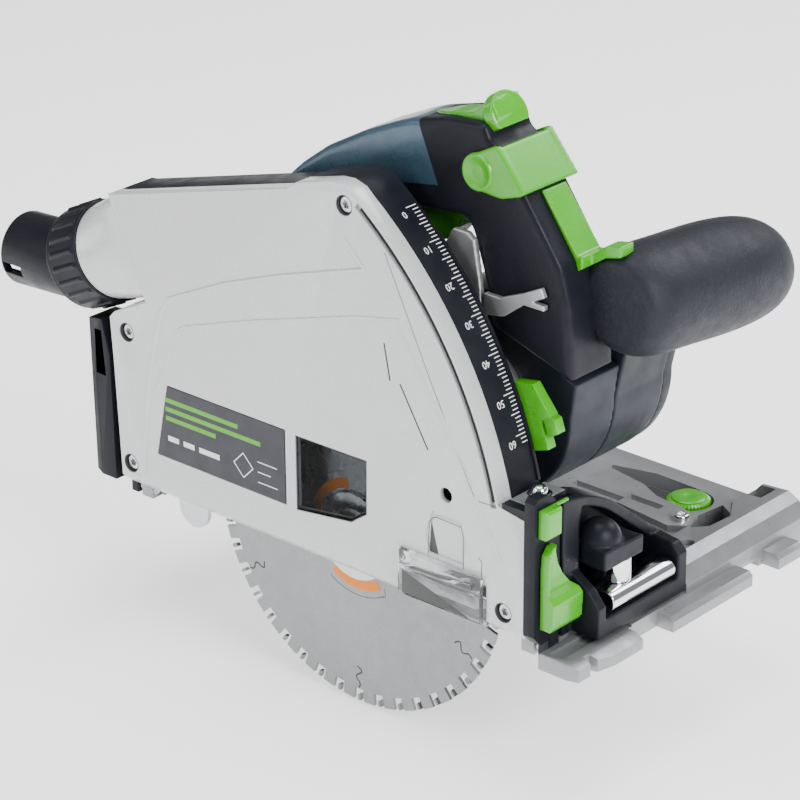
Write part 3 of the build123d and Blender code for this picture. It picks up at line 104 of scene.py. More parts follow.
# ------------------------------------------------------------ materials
def shade(name, color, rough, metal=0.0, grain=None, depth=0.0, mottle=0.06, coat=0.0, clear=0.0,
          rough_vary=0.08, spots=0.0, ior=1.5, gleam=0.5, glow=0.0, spun=0.0):
    """Procedural finish: fine grain, slow colour drift, uneven gloss and pale specks; spun gives a turned gloss."""
    mat = bpy.data.materials.new(name)
    mat.use_nodes = True
    tree = mat.node_tree
    node, link = tree.nodes, tree.links
    bsdf = node["Principled BSDF"]
    bsdf.inputs["Metallic"].default_value = metal
    bsdf.inputs["Coat Weight"].default_value = coat
    bsdf.inputs["Coat Roughness"].default_value = 0.12
    bsdf.inputs["Transmission Weight"].default_value = clear
    bsdf.inputs["IOR"].default_value = ior
    bsdf.inputs["Specular IOR Level"].default_value = gleam
    bsdf.inputs["Emission Color"].default_value = (1, 1, 1, 1)
    bsdf.inputs["Emission Strength"].default_value = glow
    if spun:
        bsdf.inputs["Anisotropic"].default_value = spun
        turning = node.new("ShaderNodeTangent")
        turning.direction_type, turning.axis = "RADIAL", "Y"
        link.new(turning.outputs["Tangent"], bsdf.inputs["Tangent"])
    where = node.new("ShaderNodeTexCoord")
    slow = node.new("ShaderNodeTexNoise")
    slow.inputs["Scale"].default_value = 38
    slow.inputs["Detail"].default_value = 5
    link.new(where.outputs["Object"], slow.inputs["Vector"])
    blend = node.new("ShaderNodeMix")
    blend.data_type = "RGBA"
    dark = [c * (1 - mottle) for c in color]
    light = [min(1, c * (1 + mottle) + mottle * 0.02) for c in color]
    blend.inputs[6].default_value = (*dark, 1)
    blend.inputs[7].default_value = (*light, 1)
    link.new(slow.outputs["Fac"], blend.inputs[0])
    link.new(blend.outputs[2], bsdf.inputs["Base Color"])
    gloss = node.new("ShaderNodeMapRange")
    gloss.inputs["From Min"].default_value = 0.3
    gloss.inputs["From Max"].default_value = 0.7
    gloss.inputs["To Min"].default_value = max(0.02, rough - rough_vary)
    gloss.inputs["To Max"].default_value = min(1, rough + rough_vary)
    link.new(gloss.outputs["Result"], bsdf.inputs["Roughness"])
    wear = node.new("ShaderNodeTexNoise")
    wear.inputs["Scale"].default_value = 120
    wear.inputs["Detail"].default_value = 6
    link.new(where.outputs["Object"], wear.inputs["Vector"])
    link.new(wear.outputs["Fac"], gloss.inputs["Value"])
    if grain:
        fine = node.new("ShaderNodeTexNoise")
        fine.inputs["Scale"].default_value = grain
        fine.inputs["Detail"].default_value = 3
        fine.inputs["Roughness"].default_value = 0.6
        link.new(where.outputs["Object"], fine.inputs["Vector"])
        bump = node.new("ShaderNodeBump")
        bump.inputs["Strength"].default_value = 1.0
        bump.inputs["Distance"].default_value = depth * MM
        link.new(fine.outputs["Fac"], bump.inputs["Height"])
        link.new(bump.outputs["Normal"], bsdf.inputs["Normal"])
        if spots:
            speck = node.new("ShaderNodeMix")
            speck.data_type = "RGBA"
            ramp = node.new("ShaderNodeMapRange")
            ramp.inputs["From Min"].default_value = 0.55
            ramp.inputs["From Max"].default_value = 0.8
            ramp.inputs["To Max"].default_value = spots
            link.new(fine.outputs["Fac"], ramp.inputs["Value"])
            link.new(ramp.outputs["Result"], speck.inputs[0])
            link.new(blend.outputs[2], speck.inputs[6])
            speck.inputs[7].default_value = (*[min(1, c * 2.2 + 0.05) for c in color], 1)
            link.new(speck.outputs[2], bsdf.inputs["Base Color"])
    return mat


MATS = {
    "floor": shade("floor", (0.93, 0.93, 0.93), 0.75, grain=260, depth=0.02, mottle=0.01, glow=1.0),
    "cast_light": shade("cast_light", (0.27, 0.275, 0.285), 0.34, metal=0.5, grain=1500, depth=0.05,
                        mottle=0.04),
    "cover_paint": shade("cover_paint", (0.58, 0.59, 0.60), 0.30, metal=0.15, grain=1900, depth=0.03,
                         mottle=0.02, coat=0.3),
    "black_plastic": shade("black_plastic", (0.0055, 0.006, 0.011), 0.40, grain=1700, depth=0.07, mottle=0.25,
                           spots=0.05, gleam=0.18),
    "slate_plastic": shade("slate_plastic", (0.010, 0.0125, 0.021), 0.40, grain=1700, depth=0.07, mottle=0.25,
                           spots=0.05, gleam=0.22),
    "green_plastic": shade("green_plastic", (0.050, 0.36, 0.002), 0.30, grain=900, depth=0.02, mottle=0.06,
                           coat=0.35),
    "teal_plastic": shade("teal_plastic", (0.045, 0.095, 0.135), 0.30, metal=0.4, grain=1200, depth=0.02,
                          mottle=0.08, coat=0.4),
    "soft_grip": shade("soft_grip", (0.012, 0.013, 0.020), 0.52, grain=520, depth=0.28, mottle=0.25, spots=0.10,
                       gleam=0.22),
    "clear_guard": shade("clear_guard", (0.86, 0.88, 0.89), 0.05, clear=0.95, mottle=0.02, ior=1.42,
                         rough_vary=0.02),
    "thin_pane": shade("thin_pane", (0.42, 0.44, 0.45), 0.04, clear=1.0, mottle=0.02, ior=1.12,
                       rough_vary=0.01, gleam=0.1),
    "cast_gear": shade("cast_gear", (0.50, 0.51, 0.52), 0.42, metal=0.85, grain=800, depth=0.12, mottle=0.08),
    "bright_steel": shade("bright_steel", (0.86, 0.87, 0.88), 0.11, metal=1.0, mottle=0.04, rough_vary=0.05),
    "machined_steel": shade("machined_steel", (0.55, 0.56, 0.58), 0.26, metal=1.0, grain=900, depth=0.02,
                            mottle=0.06),
    "blade_steel": shade("blade_steel", (0.25, 0.255, 0.26), 0.27, metal=1.0, grain=700, depth=0.012,
                         mottle=0.05, spun=0.8),
    "black_screw": shade("black_screw", (0.05, 0.05, 0.055), 0.3, metal=1.0, mottle=0.1),
    "label_film": shade("label_film", (0.010, 0.011, 0.020), 0.42, grain=1900, depth=0.05, mottle=0.2,
                        spots=0.10),
    "strip_plastic": shade("strip_plastic", (0.05, 0.055, 0.06), 0.5, grain=800, depth=0.05),
    "winding": shade("winding", (0.30, 0.16, 0.08), 0.4, metal=0.6, grain=600, depth=0.2),
    "print_white": shade("print_white", (0.85, 0.85, 0.85), 0.5, grain=900, depth=0.01),
    "print_orange": shade("print_orange", (0.80, 0.22, 0.0), 0.6, grain=900, depth=0.01),
    "print_green": shade("print_green", (0.09, 0.40, 0.01), 0.5, grain=900, depth=0.01),
    # flat dark for print, blade slots and studio cards, also used as painted shade in the rim groove, on cover
    # lines and behind the window
    "dark_print_and_shade": shade("dark_print_and_shade", (0.012, 0.012, 0.015), 0.5, grain=900, depth=0.01),
    # dark grey laid into hollows and along steps as painted shade; in the sole's pockets it also gives their darker
    # floors
    "pocket_shade_dark": shade("pocket_shade_dark", (0.045, 0.047, 0.05), 0.55, grain=700, depth=0.06, mottle=0.2),
    "carbide": shade("carbide", (0.22, 0.22, 0.23), 0.28, metal=1.0, grain=900, depth=0.02),
}


def paint(obj, finish):
    obj.data.materials.clear()
    obj.data.materials.append(MATS[finish])


for name, obj in frame["nodes"].items():
    if not obj.material_slots:
        obj.data.materials.append(MATS[SLOT_OF[name]])
    for holder in obj.material_slots:
        holder.material = MATS["thin_pane" if name == "view_pane" else SLOT_OF[name]]


# ------------------------------------------------------------ ways of making pieces
def piece(name, mesh, body, finish, stands_for=(), place=None):
    obj = bpy.data.objects.new(name, mesh)
    bpy.context.scene.collection.objects.link(obj)
    if place is not None:
        obj.matrix_world = place
    paint(obj, finish)
    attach(obj, body)
    if stands_for:
        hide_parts(*stands_for)
    return obj


def mesh_from(name, bm):
    """Closes the bmesh into a named mesh, as it stands."""
    mesh = bpy.data.meshes.new(name)
    bm.to_mesh(mesh)
    bm.free()
    return mesh


def shell_from(name, bm):
    """The same, with every face turned outward."""
    bmesh.ops.recalc_face_normals(bm, faces=bm.faces)
    return mesh_from(name, bm)


def smooth(mesh):
    for poly in mesh.polygons:
        poly.use_smooth = True


def break_edges(obj, width, segments, degrees):
    """Rounds the edges sharper than that angle, with flat faces kept flat."""
    soft = obj.modifiers.new("edges", "BEVEL")
    soft.width, soft.segments, soft.limit_method = width * MM, segments, "ANGLE"
    soft.angle_limit = math.radians(degrees)
    soft.harden_normals = True
    return soft


def cad_copy(node):
    """The CAD node's own mesh, welded and with flat faces merged."""
    bm = bmesh.new()
    bm.from_mesh(frame["nodes"][node].data)
    bmesh.ops.remove_doubles(bm, verts=bm.verts, dist=2e-6)
    bmesh.ops.dissolve_limit(bm, angle_limit=math.radians(0.6), verts=bm.verts, edges=bm.edges)
    return mesh_from(node + "_look", bm)


def bevelled(node, width):
    """Stands for a hard CAD node with its edges broken to a small radius."""
    obj = piece(node + "_look", cad_copy(node), BODY_OF[node], SLOT_OF[node], (node,))
    smooth(obj.data)
    break_edges(obj, width, 3, 28).miter_outer = "MITER_ARC"


def softened(node, voxel, passes):
    """Stands for a moulded CAD node whose edges and creases flow into each other."""
    obj = piece(node + "_look", cad_copy(node), BODY_OF[node], SLOT_OF[node], (node,))
    cells = obj.modifiers.new("cells", "REMESH")
    cells.mode, cells.voxel_size, cells.use_smooth_shade = "VOXEL", voxel * MM, True
    flow = obj.modifiers.new("flow", "SMOOTH")
    flow.factor, flow.iterations = 0.5, passes


SOFT = {  # node: voxel size in mm, smoothing passes
    "front_grip": (0.8, 14), "grip_inlay": (0.45, 9), "blade_change_lever": (0.45, 9), "trigger": (0.45, 10),
    "motor_housing": (0.8, 5), "gear_shroud": (0.8, 5),
    "electronics_housing": (0.8, 6), "gearbox_housing": (0.7, 4), "gearbox_cover": (0.7, 5),
    "stop_arm": (0.45, 4), "rear_bevel_knob": (0.5, 6), "speed_dial": (0.4, 2),
    "dust_collar": (0.5, 2), "front_bevel_bracket": (0.6, 4),
}
HARD = {  # node: edge radius in mm
    "base_plate": 0.6, "blade_housing": 0.5, "dust_neck": 0.8, "dust_port": 0.7,
    "depth_stop": 0.5, "angle_pointer": 0.5, "cut_indicator": 0.6, "rear_bevel_bracket": 0.8,
    "motor_end_cap": 0.5, "chip_guard": 0.8, "tilt_plate": 0.5, "rear_guard": 0.5,
    "fence_clamp_screw": 0.4, "power_inlet": 0.6,
    "kickback_feeler": 0.3, "outer_flange": 0.4, "arbor_bolt": 0.3, "saw_blade": 0.08,
}
for node, (voxel, passes) in SOFT.items():
    softened(node, voxel, passes)
for node, width in HARD.items():
    bevelled(node, width)


# ------------------------------------------------------------ printed and moulded detail
def ribbon(bm, points, place, wide, high, rise=0.0):
    """Adds a low rib with sloping sides along a line; local x, y lie on the surface and z is its height."""
    pts = [Vector((p[0], p[1])) for p in points]
    rows = []
    for i, p in enumerate(pts):
        before = pts[i - 1] if i > 0 else None
        after = pts[i + 1] if i < len(pts) - 1 else None
        way_in = (p - before).normalized() if before is not None else (after - p).normalized()
        way_out = (after - p).normalized() if after is not None else way_in
        way = way_in + way_out
        way = way.normalized() if way.length > 1e-6 else way_out
        across = Vector((-way.y, way.x))
        stretch = 1 / max(0.35, across.dot(Vector((-way_out.y, way_out.x))))
        row = []
        for share, up in ((0.5, 0.0), (0.22, 1.0), (-0.22, 1.0), (-0.5, 0.0)):
            q = p + across * wide * share * stretch
            row.append(bm.verts.new(place @ Vector((q.x * MM, q.y * MM, (rise + high * up) * MM))))
        rows.append(row)
    for one, two in zip(rows, rows[1:]):
        for k in range(3):
            bm.faces.new((one[k], one[k + 1], two[k + 1], two[k]))
    bm.faces.new(rows[0])
    bm.faces.new(list(reversed(rows[-1])))


def lines_piece(name, strokes, place, body, finish, wide, high, rise=0.0):
    bm = bmesh.new()
    for stroke in strokes:
        ribbon(bm, stroke, place, wide, high, rise)
    piece(name, shell_from(name, bm), body, finish)


def arc(centre, radius, start, end, steps=24):
    turns = [math.radians(start + (end - start) * i / steps) for i in range(steps + 1)]
    return [(centre[0] + radius * math.cos(t), centre[1] + radius * math.sin(t)) for t in turns]


def plane_at(kind, value):
    """Frame of a surface: side faces -Y at that y, with local x, y along X, Z; top faces +Z at that height."""
    if kind == "side":
        return Matrix(((1, 0, 0, 0), (0, 0, -1, value * MM), (0, 1, 0, 0), (0, 0, 0, 1)))
    return Matrix(((1, 0, 0, 0), (0, 1, 0, 0), (0, 0, 1, value * MM), (0, 0, 0, 1)))


def plate(name, outline, place, thick, body, finish, edge=0.0):
    """Flat plate, with its edges softly broken when edge is given; outline in mm on the local plane, thickness
    along local z.
    """
    bm = bmesh.new()
    low = [bm.verts.new(place @ Vector((x * MM, y * MM, 0))) for x, y in outline]
    face = bm.faces.new(low)
    out = bmesh.ops.extrude_face_region(bm, geom=[face])
    shift = (place.to_3x3() @ Vector((0, 0, thick * MM)))
    bmesh.ops.translate(bm, vec=shift, verts=[v for v in out["geom"] if isinstance(v, bmesh.types.BMVert)])
    obj = piece(name, shell_from(name, bm), body, finish)
    if edge:
        smooth(obj.data)
        break_edges(obj, edge, 2, 30)


def lathe(name, profile, place, body, finish, sides=48):
    """Turned piece; profile holds (radius, height) pairs in mm about the local z axis."""
    bm = bmesh.new()
    rings = []
    for radius, height in profile:
        if radius < 1e-6:
            rings.append([bm.verts.new(place @ Vector((0, 0, height * MM)))])
            continue
        rings.append([bm.verts.new(place @ Vector((radius * MM * math.cos(2 * math.pi * k / sides),
                                                   radius * MM * math.sin(2 * math.pi * k / sides),
                                                   height * MM))) for k in range(sides)])
    for one, two in zip(rings, rings[1:]):
        for k in range(sides):
            n = (k + 1) % sides
            if len(one) == 1 and len(two) == 1:
                continue
            if len(one) == 1:
                bm.faces.new((one[0], two[k], two[n]))
            elif len(two) == 1:
                bm.faces.new((one[k], one[n], two[0]))
            else:
                bm.faces.new((one[k], one[n], two[n], two[k]))
    obj = piece(name, shell_from(name, bm), body, finish)
    smooth(obj.data)
    obj.data.set_sharp_from_angle(angle=math.radians(35))


def at(origin, towards):
    """Placement whose local z points along towards."""
    turn = Vector(towards).to_track_quat("Z", "Y").to_matrix().to_4x4()
    return Matrix.Translation(Vector(origin) * MM) @ turn


# depth scale on the housing's rim
HOUSING_TREE = BVHTree.FromPolygons([v.co for v in frame["nodes"]["blade_housing"].data.vertices],
                                    [p.vertices for p in frame["nodes"]["blade_housing"].data.polygons])


def rim_point(degrees, y, up=0.0):
    """Point on the housing's outer edge at that swing angle and depth, lifted by up mm."""
    t = math.radians(degrees)
    out = Vector((math.cos(t), 0, math.sin(t)))
    hub = Vector((PIVOT[0] * MM, y * MM, PIVOT[1] * MM))
    hit = HOUSING_TREE.ray_cast(hub + out * 0.24, -out)[0]
    return (hit if hit is not None else hub + out * RIM_R * MM) + out * up * MM


SCALE_Y, FIGURE_Y = 12.3, 3.0       # far end of the marks and middle of the figures, mm
SCALE_START, SCALE_STEP = 50, 0.5   # swing angle of the zero mark and of one millimetre, degrees


def scale_marks():
    bm = bmesh.new()
    for step in range(63):
        turn = SCALE_START - SCALE_STEP * step
        long = 6.0 if step % 10 == 0 else (5.2 if step % 5 == 0 else 3.4)
        half = 0.055
        rows = []
        for lift in (0.07, -0.05):
            corners = ((1, SCALE_Y), (-1, SCALE_Y), (-1, SCALE_Y - long), (1, SCALE_Y - long))
            rows.append([bm.verts.new(rim_point(turn + side * half, y, lift)) for side, y in corners])
        bm.faces.new(rows[0])
        for k in range(4):
            n = (k + 1) % 4
            bm.faces.new((rows[0][k], rows[1][k], rows[1][n], rows[0][n]))
    piece("scale_marks", shell_from("scale_marks", bm), "head", "print_white")


def words_to_mesh(text, size, thick=0.02):
    """Flat raised figures as a mesh, centred on the origin."""
    data = bpy.data.curves.new("figure", "FONT")
    data.body, data.size, data.align_x, data.align_y = text, size * MM, "CENTER", "CENTER"
    data.extrude, data.resolution_u = thick * MM, 3
    holder = bpy.data.objects.new("figure", data)
    bpy.context.scene.collection.objects.link(holder)
    bpy.context.view_layer.update()
    mesh = bpy.data.meshes.new_from_object(holder.evaluated_get(bpy.context.evaluated_depsgraph_get()))
    bpy.data.objects.remove(holder)
    return mesh


def scale_figures():
    for step in range(7):
        turn = SCALE_START - 10 * SCALE_STEP * step - 0.75
        ahead, behind = rim_point(turn - 0.4, FIGURE_Y), rim_point(turn + 0.4, FIGURE_Y)
        right = Vector((0, -1, 0))
        up = (ahead - behind).normalized()
        out = right.cross(up)
        mesh = words_to_mesh(str(10 * step), 4.6)
        place = Matrix((right, up, out)).transposed().to_4x4()
        place.translation = (ahead + behind) / 2 + out * 0.08 * MM
        piece("scale_figure_%d" % step, mesh, "head", "print_white", place=place)


scale_marks()
scale_figures()

# raised lines of the cover, and drawn dark lines of painted shade along its creases and steps
COVER_FACE = plane_at("side", -14.0)
OUTER_LINE = [(-122.8, 13.7), (-115.5, 67.8), (-106, 104.5), (-100.7, 112.1), (-64.7, 129), (-30.3, 141.7),
              (18.9, 157.5), (7.6, 168.9)]
INNER_LINE = [(-109.9, 65.7), (-94.8, 98.8), (-91.5, 101), (-46.5, 116.3), (14.1, 134.7), (38.5, 139.9),
              (72.2, 86.5), (95, 44)]
lines_piece("cover_outer_line", [OUTER_LINE], COVER_FACE, "head", "cover_paint", 2.2, 0.7)
lines_piece("cover_inner_line", [INNER_LINE], COVER_FACE, "head", "cover_paint", 1.4, 0.5)
lines_piece("cover_shadow_lines", [[(38.2, 110.6), (53.8, 84.6)], [(29.4, 126.9), (32.6, 110.3)]],
            COVER_FACE, "head", "dark_print_and_shade", 0.9, 0.05)
# painted shade: dark lines along the steps of the cover's panels and round its scoop, and a dark patch inside the
# scoop
lines_piece("cover_step_shade", [[(30.2, 168), (55.1, 117.3), (78.9, 71.7), (81.2, 69.4), (91.2, 69.9)],
                           [(81.8, 42.9), (83.8, 41.8), (83.6, 34.3)],
                           [(53.8, 35.3), (54.4, 50.6), (56.3, 53.6), (58.6, 54.5), (72.2, 54.2), (73.4, 50.5),
                            (73.6, 34.8)]], COVER_FACE, "head", "pocket_shade_dark", 0.45, 0.04)
plate("scoop_shadow", [(53.6, 35.1), (58.8, 36.3), (54.8, 51.5)], plane_at("side", -13.02), 0.05, "head",
      "pocket_shade_dark")
# dark sheet behind the cover, open at the window: painted shade inside the housing, seen through the window
WINDOW = [(-23.4, 32.4), (-23.4, 67.4), (17.9, 67.9), (17.6, 43.2), (8.8, 37)]
SHADE_SHEET = [(-45, 30), (-45, 90), (34, 90), (34, 34.5), (9, 33.2), WINDOW[-1], *WINDOW[3::-1], WINDOW[-1],
          (8.6, 33.2)]
plate("cover_shade_sheet", SHADE_SHEET, plane_at("side", -11.15), 0.15, "head", "dark_print_and_shade")

# dark ribbon on the groove's floor: painted shade of the cover's rounded edge
lines_piece("rim_shadow", [arc(PIVOT, COVER_EDGE_R, 13.6, 52.4, 60)], plane_at("side", -12.3), "head",
            "dark_print_and_shade", 3.0, 0.05)

# dark plate on the cover, with plain marks only
PLATE_FACE = plane_at("side", -14.12)


def on_plate(x, z):
    """Point given from the plate's lower left corner, in mm."""
    return (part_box("cover_label")[0].x / MM + x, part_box("cover_label")[0].z / MM + z)


lines_piece("plate_bars", [[on_plate(6, 29), on_plate(52, 29)], [on_plate(6, 24.5), on_plate(66, 24.5)],
                           [on_plate(6, 20), on_plate(38, 20)]], PLATE_FACE, "head", "print_green",
            2.2, 0.03)
DIAMOND = [on_plate(x, z) for x, z in ((55, 5), (61, 11), (55, 17), (49, 11), (55, 5))]
lines_piece("plate_diamond", [DIAMOND, [on_plate(64, 15.5), on_plate(76, 15.5)],
                              [on_plate(64, 5.5), on_plate(76, 5.5)], [on_plate(64, 10.5), on_plate(72, 10.5)]],
            PLATE_FACE, "head", "print_white", 0.5, 0.03)
lines_piece("plate_dashes", [[on_plate(7, 10), on_plate(14, 10)], [on_plate(17, 10), on_plate(24, 10)],
                             [on_plate(27, 10), on_plate(40, 10)]], PLATE_FACE, "head", "print_white",
            2.6, 0.03)

# chrome screw on the shoulder of the tilt plate
lathe("shoulder_screw", [(0, 4.4), (1.8, 4.2), (3.0, 3.4), (3.5, 2.2), (3.5, 1.5), (4.6, 1.3), (4.6, 0.7),
                         (5.4, 0.5), (5.4, -0.4)], at((101, 3, 72.7), (0, 0, 1)), "head", "bright_steel")

# blade: printed rings, expansion slots and carbide tips
BLADE_FACE = plane_at("side", -0.82)


def ring_sector(name, inner, outer, start, end, finish, rise=0.03, steps=40):
    bm = bmesh.new()
    rows = []
    for i in range(steps + 1):
        t = math.radians(start + (end - start) * i / steps)
        rows.append([bm.verts.new(BLADE_FACE @ Vector(((BLADE[0] + r * math.cos(t)) * MM,
                                                       (BLADE[1] + r * math.sin(t)) * MM, rise * MM)))
                     for r in (inner, outer)])
    for one, two in zip(rows, rows[1:]):
        bm.faces.new((one[0], one[1], two[1], two[0]))
    piece(name, shell_from(name, bm), "spindle", finish)


def blade_slots():
    """Wavy expansion slots, cut inward from between the teeth."""
    strokes = []
    for lead in range(30, 390, 60):
        t = math.radians(lead)
        out = Vector((math.cos(t), math.sin(t)))
        side = Vector((-out.y, out.x))
        line = []
        for step in range(31):
            f = step / 30
            sway = 2.3 * math.sin(f * 3.1 * math.pi) * (0.25 + 0.75 * f)
            p = Vector(BLADE) + out * (77.5 - 11 * f) + side * sway
            line.append((p.x, p.y))
        strokes.append(line)
    lines_piece("blade_slots", strokes, BLADE_FACE, "spindle", "dark_print_and_shade", 0.75, 0.03)


blade_slots()
ring_sector("blade_print_a", 22.3, 27, 236, 301, "print_orange")
ring_sector("blade_print_b", 22.3, 27, 100, 165, "print_orange")
ARROWS = [arc(BLADE, 30, 237, 302), [(16.4, 0.2), (16.8, -3.6), (13.4, -4.6)], arc(BLADE, 30, 102, 160)]
lines_piece("blade_arrows", ARROWS, BLADE_FACE, "spindle", "dark_print_and_shade", 0.35, 0.03)


TEETH, FIRST_TOOTH = 42, 157.786    # count, and place of the first tip in degrees
TIP_HALF = 1.05                     # half the width of the cut, mm


def carbide_tips():
    bm = bmesh.new()
    for k in range(TEETH):
        a = math.radians(FIRST_TOOTH - k * 360 / TEETH)
        out = Vector((math.cos(a), -math.sin(a)))
        side = Vector((out.y, -out.x))
        base = Vector(BLADE) + out * 80.3
        corners = [base, base + out * 3.4, base + out * 3.3 + side * 1.5, base + out * 0.6 + side * 1.5]
        near = [bm.verts.new(Vector((c.x * MM, -TIP_HALF * MM, c.y * MM))) for c in corners]
        far = [bm.verts.new(Vector((c.x * MM, TIP_HALF * MM, c.y * MM))) for c in corners]
        bm.faces.new(near)
        bm.faces.new(list(reversed(far)))
        for i in range(4):
            n = (i + 1) % 4
            bm.faces.new((near[i], far[i], far[n], near[n]))
    piece("carbide_tips", shell_from("carbide_tips", bm), "spindle", "carbide")


carbide_tips()

# ------------------------------------------------------------ handle, lock button and cover window
HANDLE_OUTLINE = [(56, 130), (100, 116), (98, 150), (93, 166), (73, 194), (60, 209.5), (54.6, 212.6), (52, 219),
                  (30, 217), (10, 212), (2, 209), (-16, 201), (-38, 189), (-53, 178), (-66, 166), (-76, 152),
                  (-85, 130), (-88, 111.6), (-50, 111.6), (-50, 135), (-30, 158), (0, 172), (42, 176), (46, 170),
                  (55, 142)]
TEAL_EDGE = [(14.5, 216.1), (27, 186.5), (-6, 181), (-40, 164), (-64, 136), (-66, 105)]
TEAL_AREA = [(13, 219.6)] + TEAL_EDGE + [(-120, 105), (-120, 240)]


def inside(point, outline):
    """Whether the point lies within the closed outline."""
    hit = False
    for (x1, y1), (x2, y2) in zip(outline, outline[1:] + outline[:1]):
        if (y1 > point[1]) != (y2 > point[1]):
            if point[0] < x1 + (x2 - x1) * (point[1] - y1) / (y2 - y1):
                hit = not hit
    return hit


def prism_mesh(name, outline, y_low, y_high):
    """Solid between two depths with an X-Z outline in mm."""
    bm = bmesh.new()
    near = [bm.verts.new((x * MM, y_low * MM, z * MM)) for x, z in outline]
    far = [bm.verts.new((x * MM, y_high * MM, z * MM)) for x, z in outline]
    bm.faces.new(near)
    bm.faces.new(list(reversed(far)))
    for i in range(len(outline)):
        n = (i + 1) % len(outline)
        bm.faces.new((near[n], near[i], far[i], far[n]))
    return shell_from(name, bm)


def worked(mesh, voxel, passes):
    """The mesh with its edges flowed together, as a plain mesh."""
    holder = bpy.data.objects.new("holder", mesh)
    bpy.context.scene.collection.objects.link(holder)
    cells = holder.modifiers.new("cells", "REMESH")
    cells.mode, cells.voxel_size, cells.use_smooth_shade = "VOXEL", voxel * MM, True
    flow = holder.modifiers.new("flow", "SMOOTH")
    flow.factor, flow.iterations = 0.5, passes
    bpy.context.view_layer.update()
    done = bpy.data.meshes.new_from_object(holder.evaluated_get(bpy.context.evaluated_depsgraph_get()))
    bpy.data.objects.remove(holder)
    return done


def split_handle():
    """One flowing handle body, parted along the edge between its black and teal shells."""
    whole = worked(prism_mesh("handle", HANDLE_OUTLINE, 23.6, 53.4), 0.8, 55)
    bm = bmesh.new()
    bm.from_mesh(whole)
    for vert in bm.verts:  # the tail narrows, so that it clears the dust collar
        narrowing = 0.14 * max(0.0, min(1.0, (-60 - vert.co.x / MM) / 20))
        vert.co.y -= narrowing * (vert.co.y - 38.5 * MM)
    for (x1, z1), (x2, z2) in zip(TEAL_EDGE, TEAL_EDGE[1:]):
        bmesh.ops.bisect_plane(bm, geom=bm.verts[:] + bm.edges[:] + bm.faces[:], dist=1e-7,
                               plane_co=(x1 * MM, 0, z1 * MM), plane_no=(z2 - z1, 0, x1 - x2))
    for name, finish, keep in (("handle_black", "black_plastic", False), ("handle_teal", "teal_plastic", True)):
        part = bm.copy()
        drop = [f for f in part.faces
                if inside((f.calc_center_median().x / MM, f.calc_center_median().z / MM), TEAL_AREA) != keep]
        bmesh.ops.delete(part, geom=drop, context="FACES")
        mesh = mesh_from(name, part)
        smooth(mesh)
        nodes = ("handle_rear_shell",) if keep else ("handle_left", "handle_right")
        piece(name, mesh, "motor_unit", finish, nodes)
    bm.free()


def lofted(bm, sections):
    """Closed body through rectangular sections: (x, y middle, half width, low z, high z) in mm."""
    rows = []
    for x, mid, half, low, high in sections:
        rows.append([bm.verts.new((x * MM, (mid + sx * half) * MM, z * MM))
                     for sx, z in ((-1, low), (1, low), (1, high), (-1, high))])
    for one, two in zip(rows, rows[1:]):
        for k in range(4):
            n = (k + 1) % 4
            bm.faces.new((one[k], one[n], two[n], two[k]))
    bm.faces.new(list(reversed(rows[0])))
    bm.faces.new(rows[-1])


def add_disc(bm, centre, way, radius, back, front, sides=40):
    """Adds a round block about the axis way, from back to front of its centre, in mm."""
    place = at(centre, way)
    low = [bm.verts.new(place @ Vector((radius * MM * math.cos(2 * math.pi * k / sides),
                                        radius * MM * math.sin(2 * math.pi * k / sides), back * MM)))
           for k in range(sides)]
    high = [bm.verts.new(place @ Vector((radius * MM * math.cos(2 * math.pi * k / sides),
                                         radius * MM * math.sin(2 * math.pi * k / sides), front * MM)))
            for k in range(sides)]
    bm.faces.new(list(reversed(low)))
    bm.faces.new(high)
    for k in range(sides):
        n = (k + 1) % sides
        bm.faces.new((low[k], low[n], high[n], high[k]))


def lock_button():
    """Slide button: a ramp that widens towards a tilted thumb face."""
    bm = bmesh.new()
    lofted(bm, [(15.8, 37, 1.2, 209, 214.2), (21, 37, 4.2, 209, 215.6), (28, 37, 6.6, 209, 217.6),
                (36, 37, 7.6, 210, 219.2), (42, 37, 7.8, 211, 221), (47, 37, 8.2, 212.5, 225),
                (52, 37, 8.6, 214.5, 228.5), (56, 37, 8.8, 216.5, 222)])
    body = set(bm.verts)
    centre, down, flat = Vector((53.2, 37, 220.6)), Vector((0.5, 0, -0.866)), 5.0
    add_disc(bm, centre, (0.86, -0.1, 0.5), 10.1, -3.2, 2.6)
    for vert in bm.verts:
        past = (vert.co / MM - centre).dot(down) - flat
        if vert not in body and past > 0:  # the thumb face has a flat lower edge above the lever
            vert.co -= down * past * MM
    piece("lock_button_look", worked(shell_from("lock", bm), 0.4, 10), "lock_body", "green_plastic",
          ("lock_button",))


def lever_boss():
    """Dished thumb pad at the lever's pivot."""
    dish = [(0, 0.15), (3, 0.2), (5.2, 0.45), (6.6, 0.95), (7.3, 1.15), (7.9, 0.95), (8.3, 0.3), (8.4, -0.4)]
    lathe("lever_dish", dish,
          at((51.7, 20.5, 199), (0, -1, 0)), "lever_body", "green_plastic")


def cut_mesh(mesh, tools):
    """The mesh less each tool's volume."""
    holder = bpy.data.objects.new("holder", mesh)
    bpy.context.scene.collection.objects.link(holder)
    others = []
    for tool in tools:
        other = bpy.data.objects.new("tool", tool)
        bpy.context.scene.collection.objects.link(other)
        others.append(other)
        cut = holder.modifiers.new("cut", "BOOLEAN")
        cut.operation, cut.solver, cut.object = "DIFFERENCE", "EXACT", other
    bpy.context.view_layer.update()
    done = bpy.data.meshes.new_from_object(holder.evaluated_get(bpy.context.evaluated_depsgraph_get()))
    for obj in [holder] + others:
        bpy.data.objects.remove(obj)
    return done


